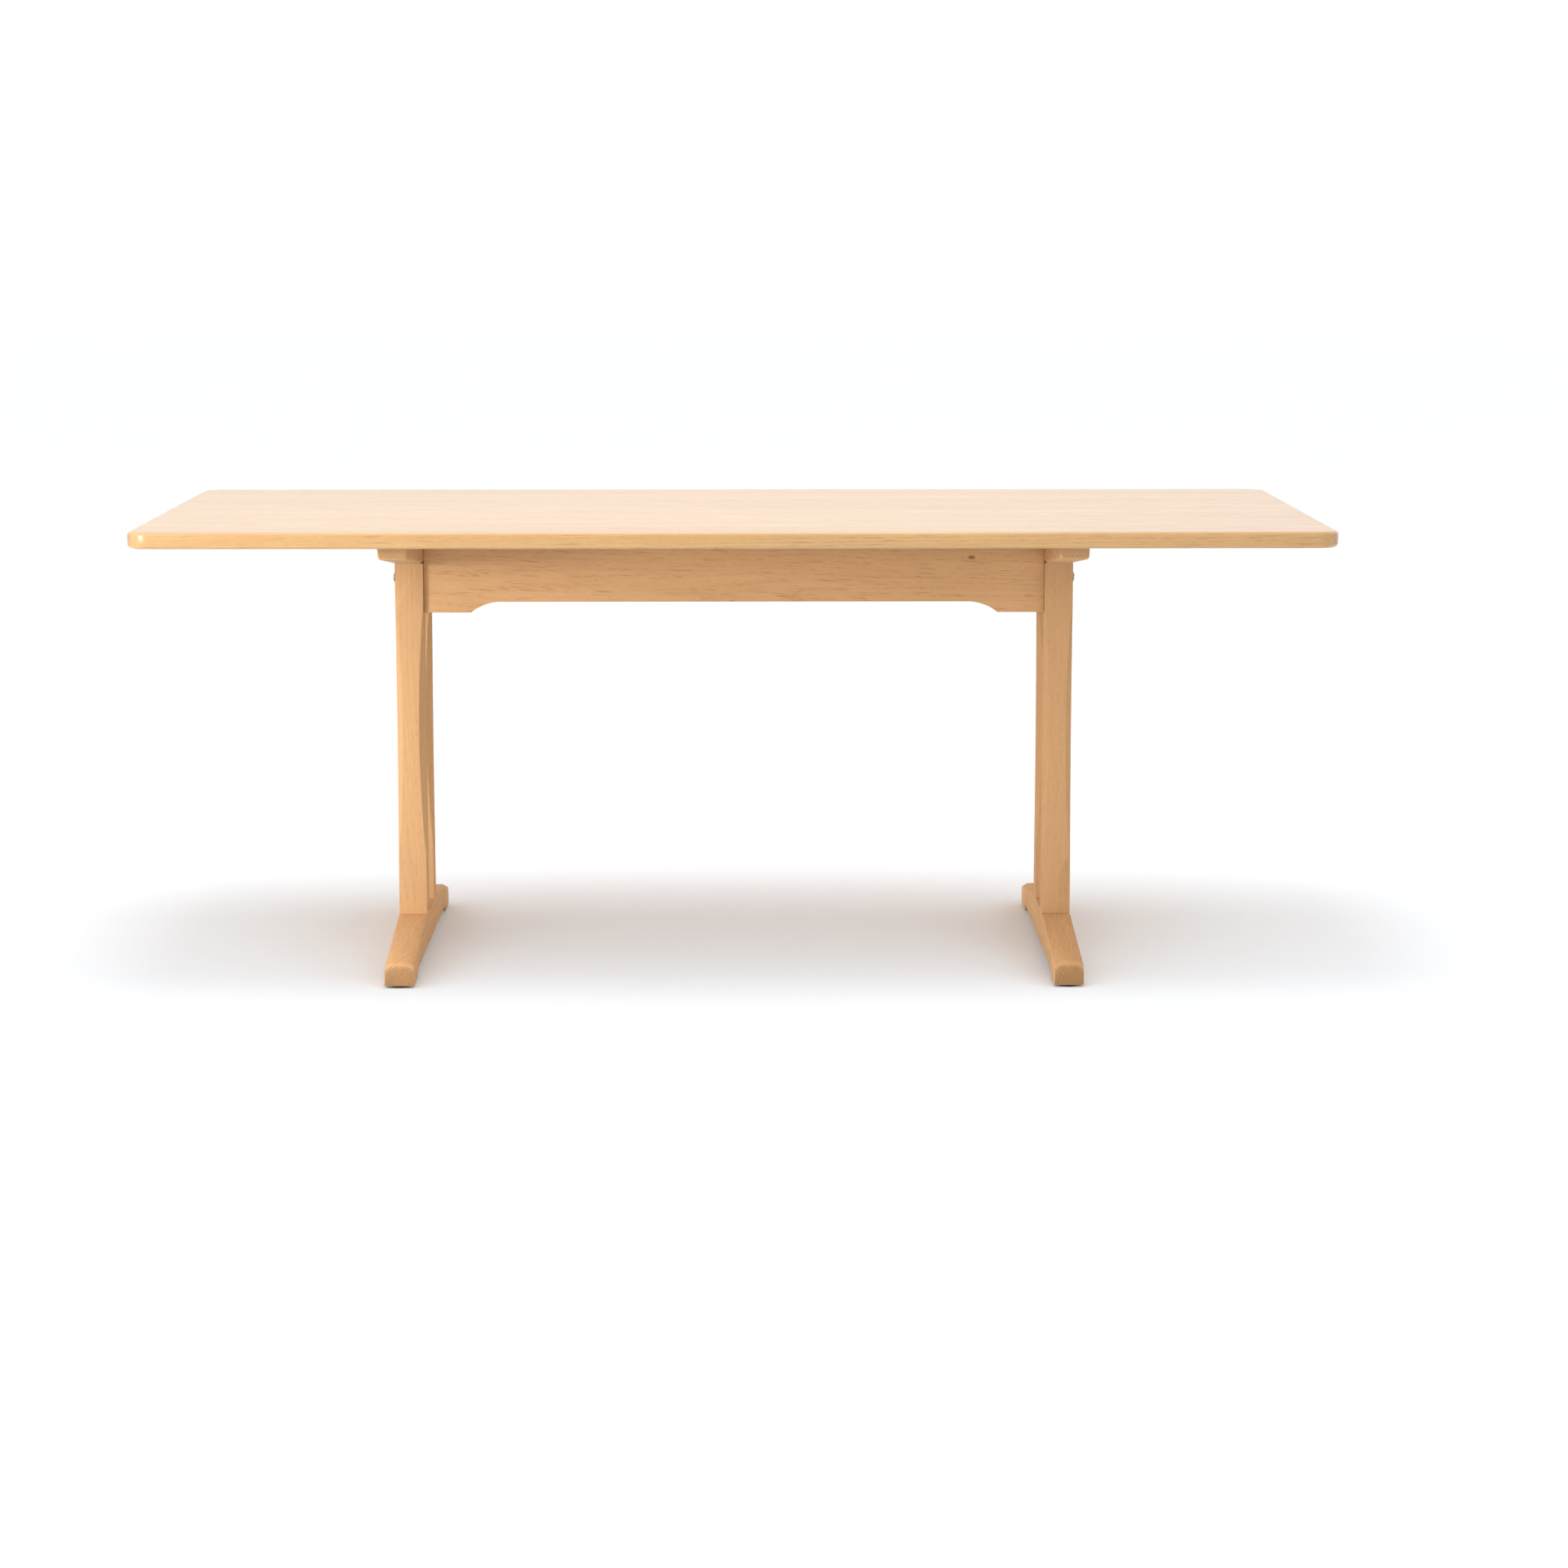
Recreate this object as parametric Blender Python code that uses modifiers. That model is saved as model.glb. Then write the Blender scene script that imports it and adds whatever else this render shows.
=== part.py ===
"""Oak trestle communion table.

Metres, +Z up. The origin is on the floor under the middle of the tabletop. +X runs along
the tabletop, -Y is the front and +Y the back. Each trestle is a foot, two posts and a
bearer, joined by mortise and tenon. A front and a back rail are drawn up against the
posts by bolts and barrel nuts, and the bearers are screwed to the edge-glued tabletop.
"""

import math

import bmesh
import bpy

# Driving dimensions
TOP_LENGTH = 1.830
TOP_WIDTH = 0.915
TOP_HEIGHT = 0.715
TOP_THICKNESS = 0.025
TOP_CORNER_RADIUS = 0.034
TOP_ARRIS = 0.006
BOARD_COUNT = 8

TRESTLE_X = 0.5195
LEG_WIDTH = 0.045
POST_DEPTH = 0.041
POST_Y = 0.071
FOOT_HALF = 0.370
FOOT_HEIGHT = 0.067
BEARER_HALF = 0.3915
BEARER_DEPTH = 0.054

RAIL_DEPTH = 0.134
RAIL_THICKNESS = 0.022

GAP = 0.0003

# Foot and bearer details
SHOULDER = 0.015
FOOT_TAPER = 0.109
FOOT_END_RADIUS = 0.016
FOOT_TOE_RADIUS = 0.004
FOOT_ARRIS = 0.004
PAD_LENGTH = 0.072
FOOT_RELIEF = 0.012
FOOT_RELIEF_RUN = 0.030
BEARER_FLAT_HALF = 0.095
BEARER_TAPER = 0.108
BEARER_END_RADIUS = 0.008
BEARER_ARRIS = 0.005

# Post details
CHAMFER_LOW = 0.153
CHAMFER_HIGH = 0.577
CHAMFER_WIDTH = 0.0095
TENON_WIDTH = 0.015
TENON_DEPTH = 0.031
FOOT_TENON_LENGTH = 0.042
BEARER_TENON_LENGTH = 0.038

# Rail details
RAIL_RELIEF = 0.0172
RAIL_CORNER_X = 0.4215
RAIL_RELIEF_RUN = 0.0454
RAIL_ARRIS = 0.0015

# Fixings
BOLT_Z = 0.612
BOLT_HEAD_RADIUS = 0.0092
BOLT_DOME = 0.0030
BOLT_RIM = 0.0006
BOLT_RADIUS = 0.0040
BOLT_LENGTH = 0.088
BOLT_SLOT_WIDTH = 0.0020
BOLT_SLOT_DEPTH = 0.0018
NUT_RADIUS = 0.0058
NUT_LENGTH = 0.0150
NUT_INSET = 0.0320
NUT_SLOT_WIDTH = 0.0015
NUT_SLOT_DEPTH = 0.0012
DOWEL_RADIUS = 0.0050
DOWEL_LENGTH = 0.055
DOWEL_IN_POST = 0.026
DOWEL_HEIGHTS = (0.582, 0.628)
DOWEL_CHAMFER = 0.0010
SCREW_Y = (0.160, 0.330)
SCREW_LENGTH = 0.040
SCREW_HEAD_RADIUS = 0.0045
SCREW_HEAD_HEIGHT = 0.0028
SCREW_RADIUS = 0.0020
SCREW_CLEARANCE_RADIUS = 0.0030
SCREW_POINT = 0.006
SCREW_SLOT_WIDTH = 0.0010
SCREW_SLOT_DEPTH = 0.0010
SCREW_BITE = 0.017
COUNTERBORE_RADIUS = 0.0055
GLIDE_RADIUS = 0.016
GLIDE_HEIGHT = 0.003
GLIDE_NAIL_RADIUS = 0.0015
GLIDE_NAIL_LENGTH = 0.014
GLIDE_FROM_END = 0.024

# Places that follow from them
BOARD_WIDTH = TOP_WIDTH / BOARD_COUNT
TOP_UNDERSIDE = TOP_HEIGHT - TOP_THICKNESS
BEARER_TOP = TOP_UNDERSIDE - GAP
BEARER_UNDERSIDE = TOP_UNDERSIDE - BEARER_DEPTH
POST_INNER_X = TRESTLE_X - LEG_WIDTH / 2
POST_OUTER_X = TRESTLE_X + LEG_WIDTH / 2
RAIL_HALF = POST_INNER_X - GAP
RAIL_TOP = TOP_UNDERSIDE - GAP
RAIL_BOTTOM = TOP_UNDERSIDE - RAIL_DEPTH
FOOT_UNDERSIDE = GLIDE_HEIGHT + GAP
SCREW_ROWS = sorted([-y for y in SCREW_Y] + list(SCREW_Y))
SCREW_SEAT = TOP_UNDERSIDE + SCREW_BITE - SCREW_LENGTH
SIDES = {"left": -1, "right": 1}
ENDS = {"front": -1, "back": 1}

ROUND_STEPS = 24
ARC_STEPS = 6


def collection(name):
    made = bpy.data.collections.new(name)
    bpy.context.scene.collection.children.link(made)
    return made


for old in list(bpy.data.objects):
    bpy.data.objects.remove(old, do_unlink=True)
PARTS = collection("communion_table")
CUTTERS = collection("cutters")


def material(name, color, roughness, metallic=0.0):
    made = bpy.data.materials.new(name)
    made.use_nodes = True
    shader = made.node_tree.nodes["Principled BSDF"]
    shader.inputs["Base Color"].default_value = (*color, 1.0)
    shader.inputs["Roughness"].default_value = roughness
    shader.inputs["Metallic"].default_value = metallic
    return made


def put_in(obj, home):
    for user in list(obj.users_collection):
        user.objects.unlink(obj)
    home.objects.link(obj)
    return obj


def as_cutter(obj):
    put_in(obj, CUTTERS)
    obj.hide_render = True
    obj.display_type = "WIRE"
    return obj


def arc(centre, radius, start, end, steps=ARC_STEPS):
    """Points on an arc about centre, from one angle to another in degrees."""
    points = []
    for step in range(steps + 1):
        angle = math.radians(start + (end - start) * step / steps)
        points.append((centre[0] + radius * math.cos(angle), centre[1] + radius * math.sin(angle)))
    return points


def box(name, low, high):
    size = [high[axis] - low[axis] for axis in range(3)]
    middle = [(high[axis] + low[axis]) / 2 for axis in range(3)]
    bpy.ops.mesh.primitive_cube_add(size=1, location=middle)
    made = bpy.context.object
    made.name = name
    made.scale = size
    bpy.ops.object.transform_apply(location=False, rotation=False, scale=True)
    return made


def cylinder(name, radius, low, high, axis, across, steps=ROUND_STEPS):
    """A round bar from low to high along axis (0 for X, 1 for Y, 2 for Z)."""
    centre = list(across)
    centre.insert(axis, (low + high) / 2)
    turn = ((0, math.pi / 2, 0), (math.pi / 2, 0, 0), (0, 0, 0))[axis]
    bpy.ops.mesh.primitive_cylinder_add(
        vertices=steps, radius=radius, depth=high - low, location=centre, rotation=turn
    )
    made = bpy.context.object
    made.name = name
    return made


def plate(name, outline, thickness, turn=(0, 0, 0)):
    """A flat outline extruded by half the thickness each way, as a mesh with its caps welded."""
    curve = bpy.data.curves.new(name, "CURVE")
    curve.dimensions = "2D"
    curve.fill_mode = "BOTH"
    curve.extrude = thickness / 2
    spline = curve.splines.new("POLY")
    spline.points.add(len(outline) - 1)
    for point, (across, up) in zip(spline.points, outline):
        point.co = (across, up, 0, 1)
    spline.use_cyclic_u = True
    drawn = bpy.data.objects.new(name, curve)
    drawn.rotation_euler = turn
    bpy.context.scene.collection.objects.link(drawn)
    made = bpy.data.objects.new(name, baked_mesh(drawn))
    bpy.context.scene.collection.objects.link(made)
    return made


def baked_mesh(obj):
    """The object's evaluated mesh in world space, welded. The object is removed."""
    bpy.context.view_layer.update()
    graph = bpy.context.evaluated_depsgraph_get()
    mesh = bpy.data.meshes.new_from_object(obj.evaluated_get(graph))
    mesh.transform(obj.matrix_world)
    welded = bmesh.new()
    welded.from_mesh(mesh)
    bmesh.ops.remove_doubles(welded, verts=welded.verts, dist=0.00001)
    bmesh.ops.recalc_face_normals(welded, faces=welded.faces)
    welded.to_mesh(mesh)
    welded.free()
    mesh.name = obj.name
    bpy.data.objects.remove(obj, do_unlink=True)
    return mesh


def soften(obj, width, segments=2):
    """Rounded arrises on every edge sharper than 40 degrees."""
    bevel = obj.modifiers.new("arris", "BEVEL")
    bevel.width = width
    bevel.segments = segments
    bevel.limit_method = "ANGLE"
    bevel.angle_limit = math.radians(40)


def cut(obj, cutter, operation="DIFFERENCE"):
    boolean = obj.modifiers.new(cutter.name, "BOOLEAN")
    boolean.operation = operation
    boolean.solver = "EXACT"
    boolean.object = as_cutter(cutter)


def joined(name, objects):
    """Several cutters that don't touch, as one object."""
    bpy.ops.object.select_all(action="DESELECT")
    for obj in objects:
        obj.select_set(True)
    bpy.context.view_layer.objects.active = objects[0]
    bpy.ops.object.join()
    objects[0].name = name
    bpy.ops.object.transform_apply(location=True, rotation=True, scale=True)
    return objects[0]


def turned(name, profile):
    """A shape turned about Z from (radius, height) points that run from its top to its foot."""
    mesh = bpy.data.meshes.new(name)
    rows = [(radius, 0, height) for radius, height in profile]
    mesh.from_pydata(rows, [(i, i + 1) for i in range(len(rows) - 1)], [])
    made = bpy.data.objects.new(name, mesh)
    bpy.context.scene.collection.objects.link(made)
    screw = made.modifiers.new("turn", "SCREW")
    screw.steps = screw.render_steps = ROUND_STEPS
    screw.use_merge_vertices = True
    screw.merge_threshold = 0.00001
    return made


def place(name, mesh, finish, location=(0, 0, 0), turn=(0, 0, 0)):
    """One finished piece in the parts collection, from a baked mesh."""
    made = bpy.data.objects.new(name, mesh)
    made.location = location
    made.rotation_euler = turn
    PARTS.objects.link(made)
    if not mesh.materials:
        mesh.materials.append(finish)
    return made


def smooth(mesh):
    mesh.shade_smooth()
    mesh.set_sharp_from_angle(angle=math.radians(35))
    return mesh


OAK_TOP = material("oak_tabletop", (0.78, 0.58, 0.38), 0.45)
OAK_FRAME = material("oak_frame", (0.70, 0.46, 0.26), 0.50)
BEECH = material("beech_dowel", (0.74, 0.58, 0.40), 0.60)
BRONZE = material("bronzed_steel", (0.45, 0.28, 0.14), 0.35, 1.0)
STEEL = material("zinc_steel", (0.62, 0.61, 0.58), 0.35, 1.0)
GLIDE = material("dark_glide", (0.06, 0.045, 0.035), 0.55)


def screw_places():
    """(side name, number, x, y) of each screw up through a bearer into the tabletop."""
    for side, sign in SIDES.items():
        for number, y in enumerate(SCREW_ROWS, start=1):
            yield side, number, sign * TRESTLE_X, y


def tabletop():
    """Edge-glued boards cut from one softened slab with rounded corners."""
    half_length = TOP_LENGTH / 2 - TOP_CORNER_RADIUS
    half_width = TOP_WIDTH / 2 - TOP_CORNER_RADIUS
    outline = []
    for start, sign_x, sign_y in ((0, 1, 1), (90, -1, 1), (180, -1, -1), (270, 1, -1)):
        centre = (sign_x * half_length, sign_y * half_width)
        outline += arc(centre, TOP_CORNER_RADIUS, start, start + 90)
    for number in range(BOARD_COUNT):
        slab = plate("slab", outline, TOP_THICKNESS)
        slab.location.z = TOP_HEIGHT - TOP_THICKNESS / 2
        soften(slab, TOP_ARRIS, 3)
        front = -TOP_WIDTH / 2 + number * BOARD_WIDTH
        back = front + BOARD_WIDTH
        front += GAP / 2 if number else -TOP_THICKNESS
        back += -GAP / 2 if number < BOARD_COUNT - 1 else TOP_THICKNESS
        reach = TOP_LENGTH / 2 + TOP_THICKNESS
        strip = box("board_strip", (-reach, front, 0), (reach, back, 2 * TOP_HEIGHT))
        cut(slab, strip, "INTERSECT")
        pilots = []
        for _, _, x, y in screw_places():
            if front < y < back:
                top = TOP_UNDERSIDE + SCREW_BITE + GAP
                pilots.append(
                    cylinder("pilot", SCREW_RADIUS + GAP, BEARER_TOP, top, 2, (x, y), 12)
                )
        if pilots:
            cut(slab, joined("pilots", pilots))
        place(f"tabletop_board_{number + 1}", baked_mesh(slab), OAK_TOP)


def mirrored_outline(half):
    """An outline symmetric about the vertical, from the points of its right half."""
    return half + [(-across, up) for across, up in reversed(half)]


def mortises(low, high):
    """Two square holes for the post tenons, as one cutter."""
    made = []
    for sign in ENDS.values():
        near = (-TENON_WIDTH / 2 - GAP, sign * POST_Y - TENON_DEPTH / 2 - GAP, low)
        far = (TENON_WIDTH / 2 + GAP, sign * POST_Y + TENON_DEPTH / 2 + GAP, high)
        made.append(box("mortise", near, far))
    return joined("mortises", made)


def bearer_mesh():
    """A bearer with rounded lower edges and a square-edged top that meets the boards."""
    end_depth = BEARER_DEPTH - BEARER_TAPER * (BEARER_HALF - BEARER_FLAT_HALF)
    end_bottom = TOP_UNDERSIDE - end_depth
    slope = math.degrees(math.atan(BEARER_TAPER))
    corner = (BEARER_HALF - BEARER_END_RADIUS, end_bottom + BEARER_END_RADIUS)
    half = [(BEARER_FLAT_HALF, BEARER_UNDERSIDE)]
    half += arc(corner, BEARER_END_RADIUS, slope - 90, 0, 4)
    spare = 2 * BEARER_ARRIS
    half += [(BEARER_HALF, BEARER_TOP + spare)]
    made = plate("bearer", mirrored_outline(half), LEG_WIDTH, (math.pi / 2, 0, math.pi / 2))
    soften(made, BEARER_ARRIS, 2)
    near = (-LEG_WIDTH, -BEARER_HALF - spare, BEARER_TOP)
    far = (LEG_WIDTH, BEARER_HALF + spare, BEARER_TOP + 2 * spare)
    cut(made, box("square_top", near, far))
    cut(made, mortises(BEARER_UNDERSIDE - GAP, BEARER_UNDERSIDE + BEARER_TENON_LENGTH + GAP))
    for name, radius, low, high in (
        ("screw_bore", SCREW_CLEARANCE_RADIUS, SCREW_SEAT - GAP, TOP_UNDERSIDE),
        ("screw_well", COUNTERBORE_RADIUS, BEARER_UNDERSIDE - GAP, SCREW_SEAT),
    ):
        holes = [cylinder(name, radius, low, high, 2, (0, y), 16) for y in SCREW_ROWS]
        cut(made, joined(name, holes))
    return baked_mesh(made)


def foot_mesh():
    flat_half = POST_Y + POST_DEPTH / 2 + SHOULDER
    end_top = FOOT_HEIGHT - FOOT_TAPER * (FOOT_HALF - flat_half)
    slope = math.degrees(math.atan(FOOT_TAPER))
    knuckle = (FOOT_HALF - FOOT_END_RADIUS, end_top - FOOT_END_RADIUS)
    toe = (FOOT_HALF - FOOT_TOE_RADIUS, FOOT_UNDERSIDE + FOOT_TOE_RADIUS)
    arch_radius = (FOOT_RELIEF_RUN**2 + FOOT_RELIEF**2) / (2 * FOOT_RELIEF)
    arch_half = FOOT_HALF - PAD_LENGTH
    arch_top = FOOT_UNDERSIDE + FOOT_RELIEF
    arch_centre = (arch_half - FOOT_RELIEF_RUN, arch_top - arch_radius)
    arch_end = math.degrees(math.asin((arch_radius - FOOT_RELIEF) / arch_radius))
    half = arc(arch_centre, arch_radius, 90, arch_end)
    half += arc(toe, FOOT_TOE_RADIUS, -90, 0, 3)
    half += arc(knuckle, FOOT_END_RADIUS, 0, 90 - slope, 4)
    half += [(flat_half, FOOT_HEIGHT)]
    made = plate("foot", mirrored_outline(half), LEG_WIDTH, (math.pi / 2, 0, math.pi / 2))
    soften(made, FOOT_ARRIS)
    cut(made, mortises(FOOT_HEIGHT - FOOT_TENON_LENGTH - GAP, FOOT_HEIGHT + GAP))
    holes = []
    for sign in ENDS.values():
        top = FOOT_UNDERSIDE + GLIDE_NAIL_LENGTH + GAP
        y = sign * (FOOT_HALF - GLIDE_FROM_END)
        holes.append(cylinder("nail_hole", GLIDE_NAIL_RADIUS + GAP, 0, top, 2, (0, y), 12))
    cut(made, joined("nail_holes", holes))
    return baked_mesh(made)


def chamfer_cutter():
    """A shallow round-backed slab that scoops a stopped chamfer out of the corner at +X +Y."""
    half = (CHAMFER_HIGH - CHAMFER_LOW) / 2
    depth = CHAMFER_WIDTH / math.sqrt(2)
    radius = (half**2 + depth**2) / (2 * depth)
    middle = (CHAMFER_HIGH + CHAMFER_LOW) / 2
    spread = math.degrees(math.asin(half / radius))
    outline = arc((radius - depth, middle), radius, 180 - spread, 180 + spread, 20)
    outline += [(LEG_WIDTH, CHAMFER_LOW), (LEG_WIDTH, CHAMFER_HIGH)]
    return plate("chamfer", outline, LEG_WIDTH, (math.pi / 2, 0, 0))


def post_mesh():
    """A left-hand post at the origin of X and Y, with its rail joint on the +X face."""
    half_x = LEG_WIDTH / 2
    half_y = POST_DEPTH / 2
    low = FOOT_HEIGHT + GAP
    high = BEARER_UNDERSIDE - GAP
    made = box("post", (-half_x, -half_y, low), (half_x, half_y, high))
    for turn in range(4):
        cutter = chamfer_cutter()
        sign_x = 1 if turn in (0, 3) else -1
        sign_y = 1 if turn in (0, 1) else -1
        cutter.rotation_euler.z = math.radians(45 + 90 * turn)
        cutter.location.x = sign_x * half_x
        cutter.location.y = sign_y * half_y
        cut(made, cutter)
    for name, bottom, top in (
        ("foot_tenon", FOOT_HEIGHT - FOOT_TENON_LENGTH, low + GAP),
        ("bearer_tenon", high - GAP, BEARER_UNDERSIDE + BEARER_TENON_LENGTH),
    ):
        near = (-TENON_WIDTH / 2, -TENON_DEPTH / 2, bottom)
        far = (TENON_WIDTH / 2, TENON_DEPTH / 2, top)
        cut(made, box(name, near, far), "UNION")
    bores = [cylinder("bolt_bore", BOLT_RADIUS + GAP, -LEG_WIDTH, LEG_WIDTH, 0, (0, BOLT_Z), 16)]
    for height in DOWEL_HEIGHTS:
        start = half_x - DOWEL_IN_POST - GAP
        bores.append(
            cylinder("dowel_bore", DOWEL_RADIUS + GAP, start, LEG_WIDTH, 0, (0, height), 16)
        )
    cut(made, joined("rail_bores", bores))
    return baked_mesh(made)


def rail_mesh():
    """The front rail at its place, with nut sockets in its back face."""
    radius = (RAIL_RELIEF_RUN**2 + RAIL_RELIEF**2) / (2 * RAIL_RELIEF)
    relief_top = RAIL_BOTTOM + RAIL_RELIEF
    centre = (RAIL_CORNER_X - RAIL_RELIEF_RUN, relief_top - radius)
    corner = math.degrees(math.asin((radius - RAIL_RELIEF) / radius))
    half = arc(centre, radius, 90, corner, 8)
    half += [(RAIL_HALF, RAIL_BOTTOM), (RAIL_HALF, RAIL_TOP)]
    made = plate("rail", mirrored_outline(half), RAIL_THICKNESS, (math.pi / 2, 0, 0))
    soften(made, RAIL_ARRIS, 1)
    bores = []
    for sign in SIDES.values():
        for height in DOWEL_HEIGHTS:
            depth = DOWEL_LENGTH - DOWEL_IN_POST + GAP
            ends = sorted((sign * (POST_INNER_X - depth), sign * POST_OUTER_X))
            bores.append(cylinder("dowel_bore", DOWEL_RADIUS + GAP, *ends, 0, (0, height), 16))
        depth = BOLT_LENGTH - LEG_WIDTH + 4 * GAP
        ends = sorted((sign * (POST_INNER_X - depth), sign * POST_OUTER_X))
        bores.append(cylinder("bolt_bore", BOLT_RADIUS + GAP, *ends, 0, (0, BOLT_Z), 16))
    cut(made, joined("end_bores", bores))
    sockets = []
    for sign in SIDES.values():
        x = sign * (POST_INNER_X - NUT_INSET)
        bottom = RAIL_THICKNESS / 2 - NUT_LENGTH - GAP
        sockets.append(
            cylinder("nut_socket", NUT_RADIUS + GAP, bottom, RAIL_THICKNESS, 1, (x, BOLT_Z))
        )
    cut(made, joined("nut_sockets", sockets))
    return baked_mesh(made)


def trestles():
    bearer = bearer_mesh()
    foot = foot_mesh()
    post = post_mesh()
    for side, sign in SIDES.items():
        place(f"bearer_{side}", bearer, OAK_FRAME, (sign * TRESTLE_X, 0, 0))
        place(f"foot_{side}", foot, OAK_FRAME, (sign * TRESTLE_X, 0, 0))
        for end, direction in ENDS.items():
            turn = (0, 0, math.pi if sign > 0 else 0)
            location = (sign * TRESTLE_X, direction * POST_Y, 0)
            place(f"post_{end}_{side}", post, OAK_FRAME, location, turn)


def rails():
    rail = rail_mesh()
    for end, direction in ENDS.items():
        turn = (0, 0, math.pi if direction > 0 else 0)
        place(f"rail_{end}", rail, OAK_FRAME, (0, direction * POST_Y, 0), turn)


def bolt_mesh():
    """A dome-headed bolt with its seat at the origin and its shank down -Z."""
    dome_radius = (BOLT_HEAD_RADIUS**2 + BOLT_DOME**2) / (2 * BOLT_DOME)
    edge = math.degrees(math.asin(BOLT_HEAD_RADIUS / dome_radius))
    centre = (0, BOLT_RIM + BOLT_DOME - dome_radius)
    profile = arc(centre, dome_radius, 90, 90 - edge)
    profile += [
        (BOLT_HEAD_RADIUS, 0),
        (BOLT_RADIUS, 0),
        (BOLT_RADIUS, -BOLT_LENGTH + DOWEL_CHAMFER),
        (BOLT_RADIUS - DOWEL_CHAMFER, -BOLT_LENGTH),
        (0, -BOLT_LENGTH),
    ]
    made = turned("rail_bolt", profile)
    top = BOLT_RIM + BOLT_DOME
    near = (-BOLT_SLOT_WIDTH / 2, -LEG_WIDTH, top - BOLT_SLOT_DEPTH)
    far = (BOLT_SLOT_WIDTH / 2, LEG_WIDTH, top + BOLT_SLOT_DEPTH)
    cut(made, box("driver_slot", near, far))
    return smooth(baked_mesh(made))


def barrel_nut_mesh():
    """A cross dowel along Y with its slotted end at +Y and the bolt's bore along X."""
    made = cylinder("barrel_nut", NUT_RADIUS, -NUT_LENGTH / 2, NUT_LENGTH / 2, 1, (0, 0))
    half_width = RAIL_THICKNESS / 2
    bore_y = half_width - NUT_LENGTH / 2
    cut(made, cylinder("nut_bore", BOLT_RADIUS + GAP, -LEG_WIDTH, LEG_WIDTH, 0, (-bore_y, 0), 16))
    slot = NUT_SLOT_WIDTH / 2
    near = (-LEG_WIDTH, NUT_LENGTH / 2 - NUT_SLOT_DEPTH, -slot)
    far = (LEG_WIDTH, NUT_LENGTH, slot)
    cut(made, box("nut_slot", near, far))
    return smooth(baked_mesh(made))


def dowel_mesh():
    half = DOWEL_LENGTH / 2
    inner = DOWEL_RADIUS - DOWEL_CHAMFER
    profile = [
        (0, half),
        (inner, half),
        (DOWEL_RADIUS, half - DOWEL_CHAMFER),
        (DOWEL_RADIUS, DOWEL_CHAMFER - half),
        (inner, -half),
        (0, -half),
    ]
    return smooth(baked_mesh(turned("rail_dowel", profile)))


def rail_fixings():
    """One bolt, one barrel nut and two dowels at each of the four rail ends."""
    bolt = bolt_mesh()
    nut = barrel_nut_mesh()
    dowel = dowel_mesh()
    nut_y = POST_Y - RAIL_THICKNESS / 2 + NUT_LENGTH / 2
    for side, sign in SIDES.items():
        for end, direction in ENDS.items():
            y = direction * POST_Y
            head = (sign * (POST_OUTER_X + GAP), y, BOLT_Z)
            place(f"rail_bolt_{end}_{side}", bolt, BRONZE, head, (0, sign * math.pi / 2, 0))
            seat = (sign * (POST_INNER_X - NUT_INSET), direction * nut_y, BOLT_Z)
            turn = (0, 0, math.pi if direction > 0 else 0)
            place(f"barrel_nut_{end}_{side}", nut, STEEL, seat, turn)
            x = sign * (POST_INNER_X + DOWEL_IN_POST - DOWEL_LENGTH / 2)
            for level, height in zip(("lower", "upper"), DOWEL_HEIGHTS):
                name = f"rail_dowel_{level}_{end}_{side}"
                place(name, dowel, BEECH, (x, y, height), (0, math.pi / 2, 0))


def top_screws():
    """Pan-headed screws up through the bearers into the boards."""
    low = SCREW_SEAT - GAP
    profile = [
        (0, SCREW_LENGTH),
        (SCREW_RADIUS, SCREW_LENGTH - SCREW_POINT),
        (SCREW_RADIUS, 0),
        (SCREW_HEAD_RADIUS, 0),
        (SCREW_HEAD_RADIUS, -SCREW_HEAD_HEIGHT / 2),
        (SCREW_HEAD_RADIUS * 0.7, -SCREW_HEAD_HEIGHT),
        (0, -SCREW_HEAD_HEIGHT),
    ]
    made = turned("top_screw", profile)
    slot = SCREW_SLOT_WIDTH / 2
    near = (-slot, -LEG_WIDTH, -2 * SCREW_HEAD_HEIGHT)
    far = (slot, LEG_WIDTH, SCREW_SLOT_DEPTH - SCREW_HEAD_HEIGHT)
    cut(made, box("driver_slot", near, far))
    screw = smooth(baked_mesh(made))
    for side, number, x, y in screw_places():
        place(f"top_screw_{side}_{number}", screw, STEEL, (x, y, low))


def glides():
    """Round nail-on glides under both ends of each foot."""
    edge = GLIDE_HEIGHT / 3
    profile = [
        (0, GLIDE_HEIGHT + GLIDE_NAIL_LENGTH),
        (GLIDE_NAIL_RADIUS, GLIDE_HEIGHT + GLIDE_NAIL_LENGTH - 2 * GLIDE_NAIL_RADIUS),
        (GLIDE_NAIL_RADIUS, GLIDE_HEIGHT),
        (GLIDE_RADIUS, GLIDE_HEIGHT),
        (GLIDE_RADIUS, edge),
        (GLIDE_RADIUS - edge, 0),
        (0, 0),
    ]
    glide = smooth(baked_mesh(turned("glide", profile)))
    for side, sign in SIDES.items():
        for end, direction in ENDS.items():
            y = direction * (FOOT_HALF - GLIDE_FROM_END)
            place(f"glide_{end}_{side}", glide, GLIDE, (sign * TRESTLE_X, y, 0))


tabletop()
trestles()
rails()
rail_fixings()
top_screws()
glides()
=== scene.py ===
"""Looks of the oak trestle communion table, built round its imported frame.

Metres, +Z up, front along -Y. Every board, post, foot, bearer and rail is modelled in its
node's place from a block of its size, with its joints, and gets solid oak that is cut
from a round log: growth rings, pores, rays and end grain all come from one grain.
"""

import logging
import math
from collections.abc import Callable, Iterator
from contextlib import contextmanager
from dataclasses import dataclass, field, replace
from enum import Enum

import bmesh
import bpy
from mathutils import Euler, Matrix, Vector


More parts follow.
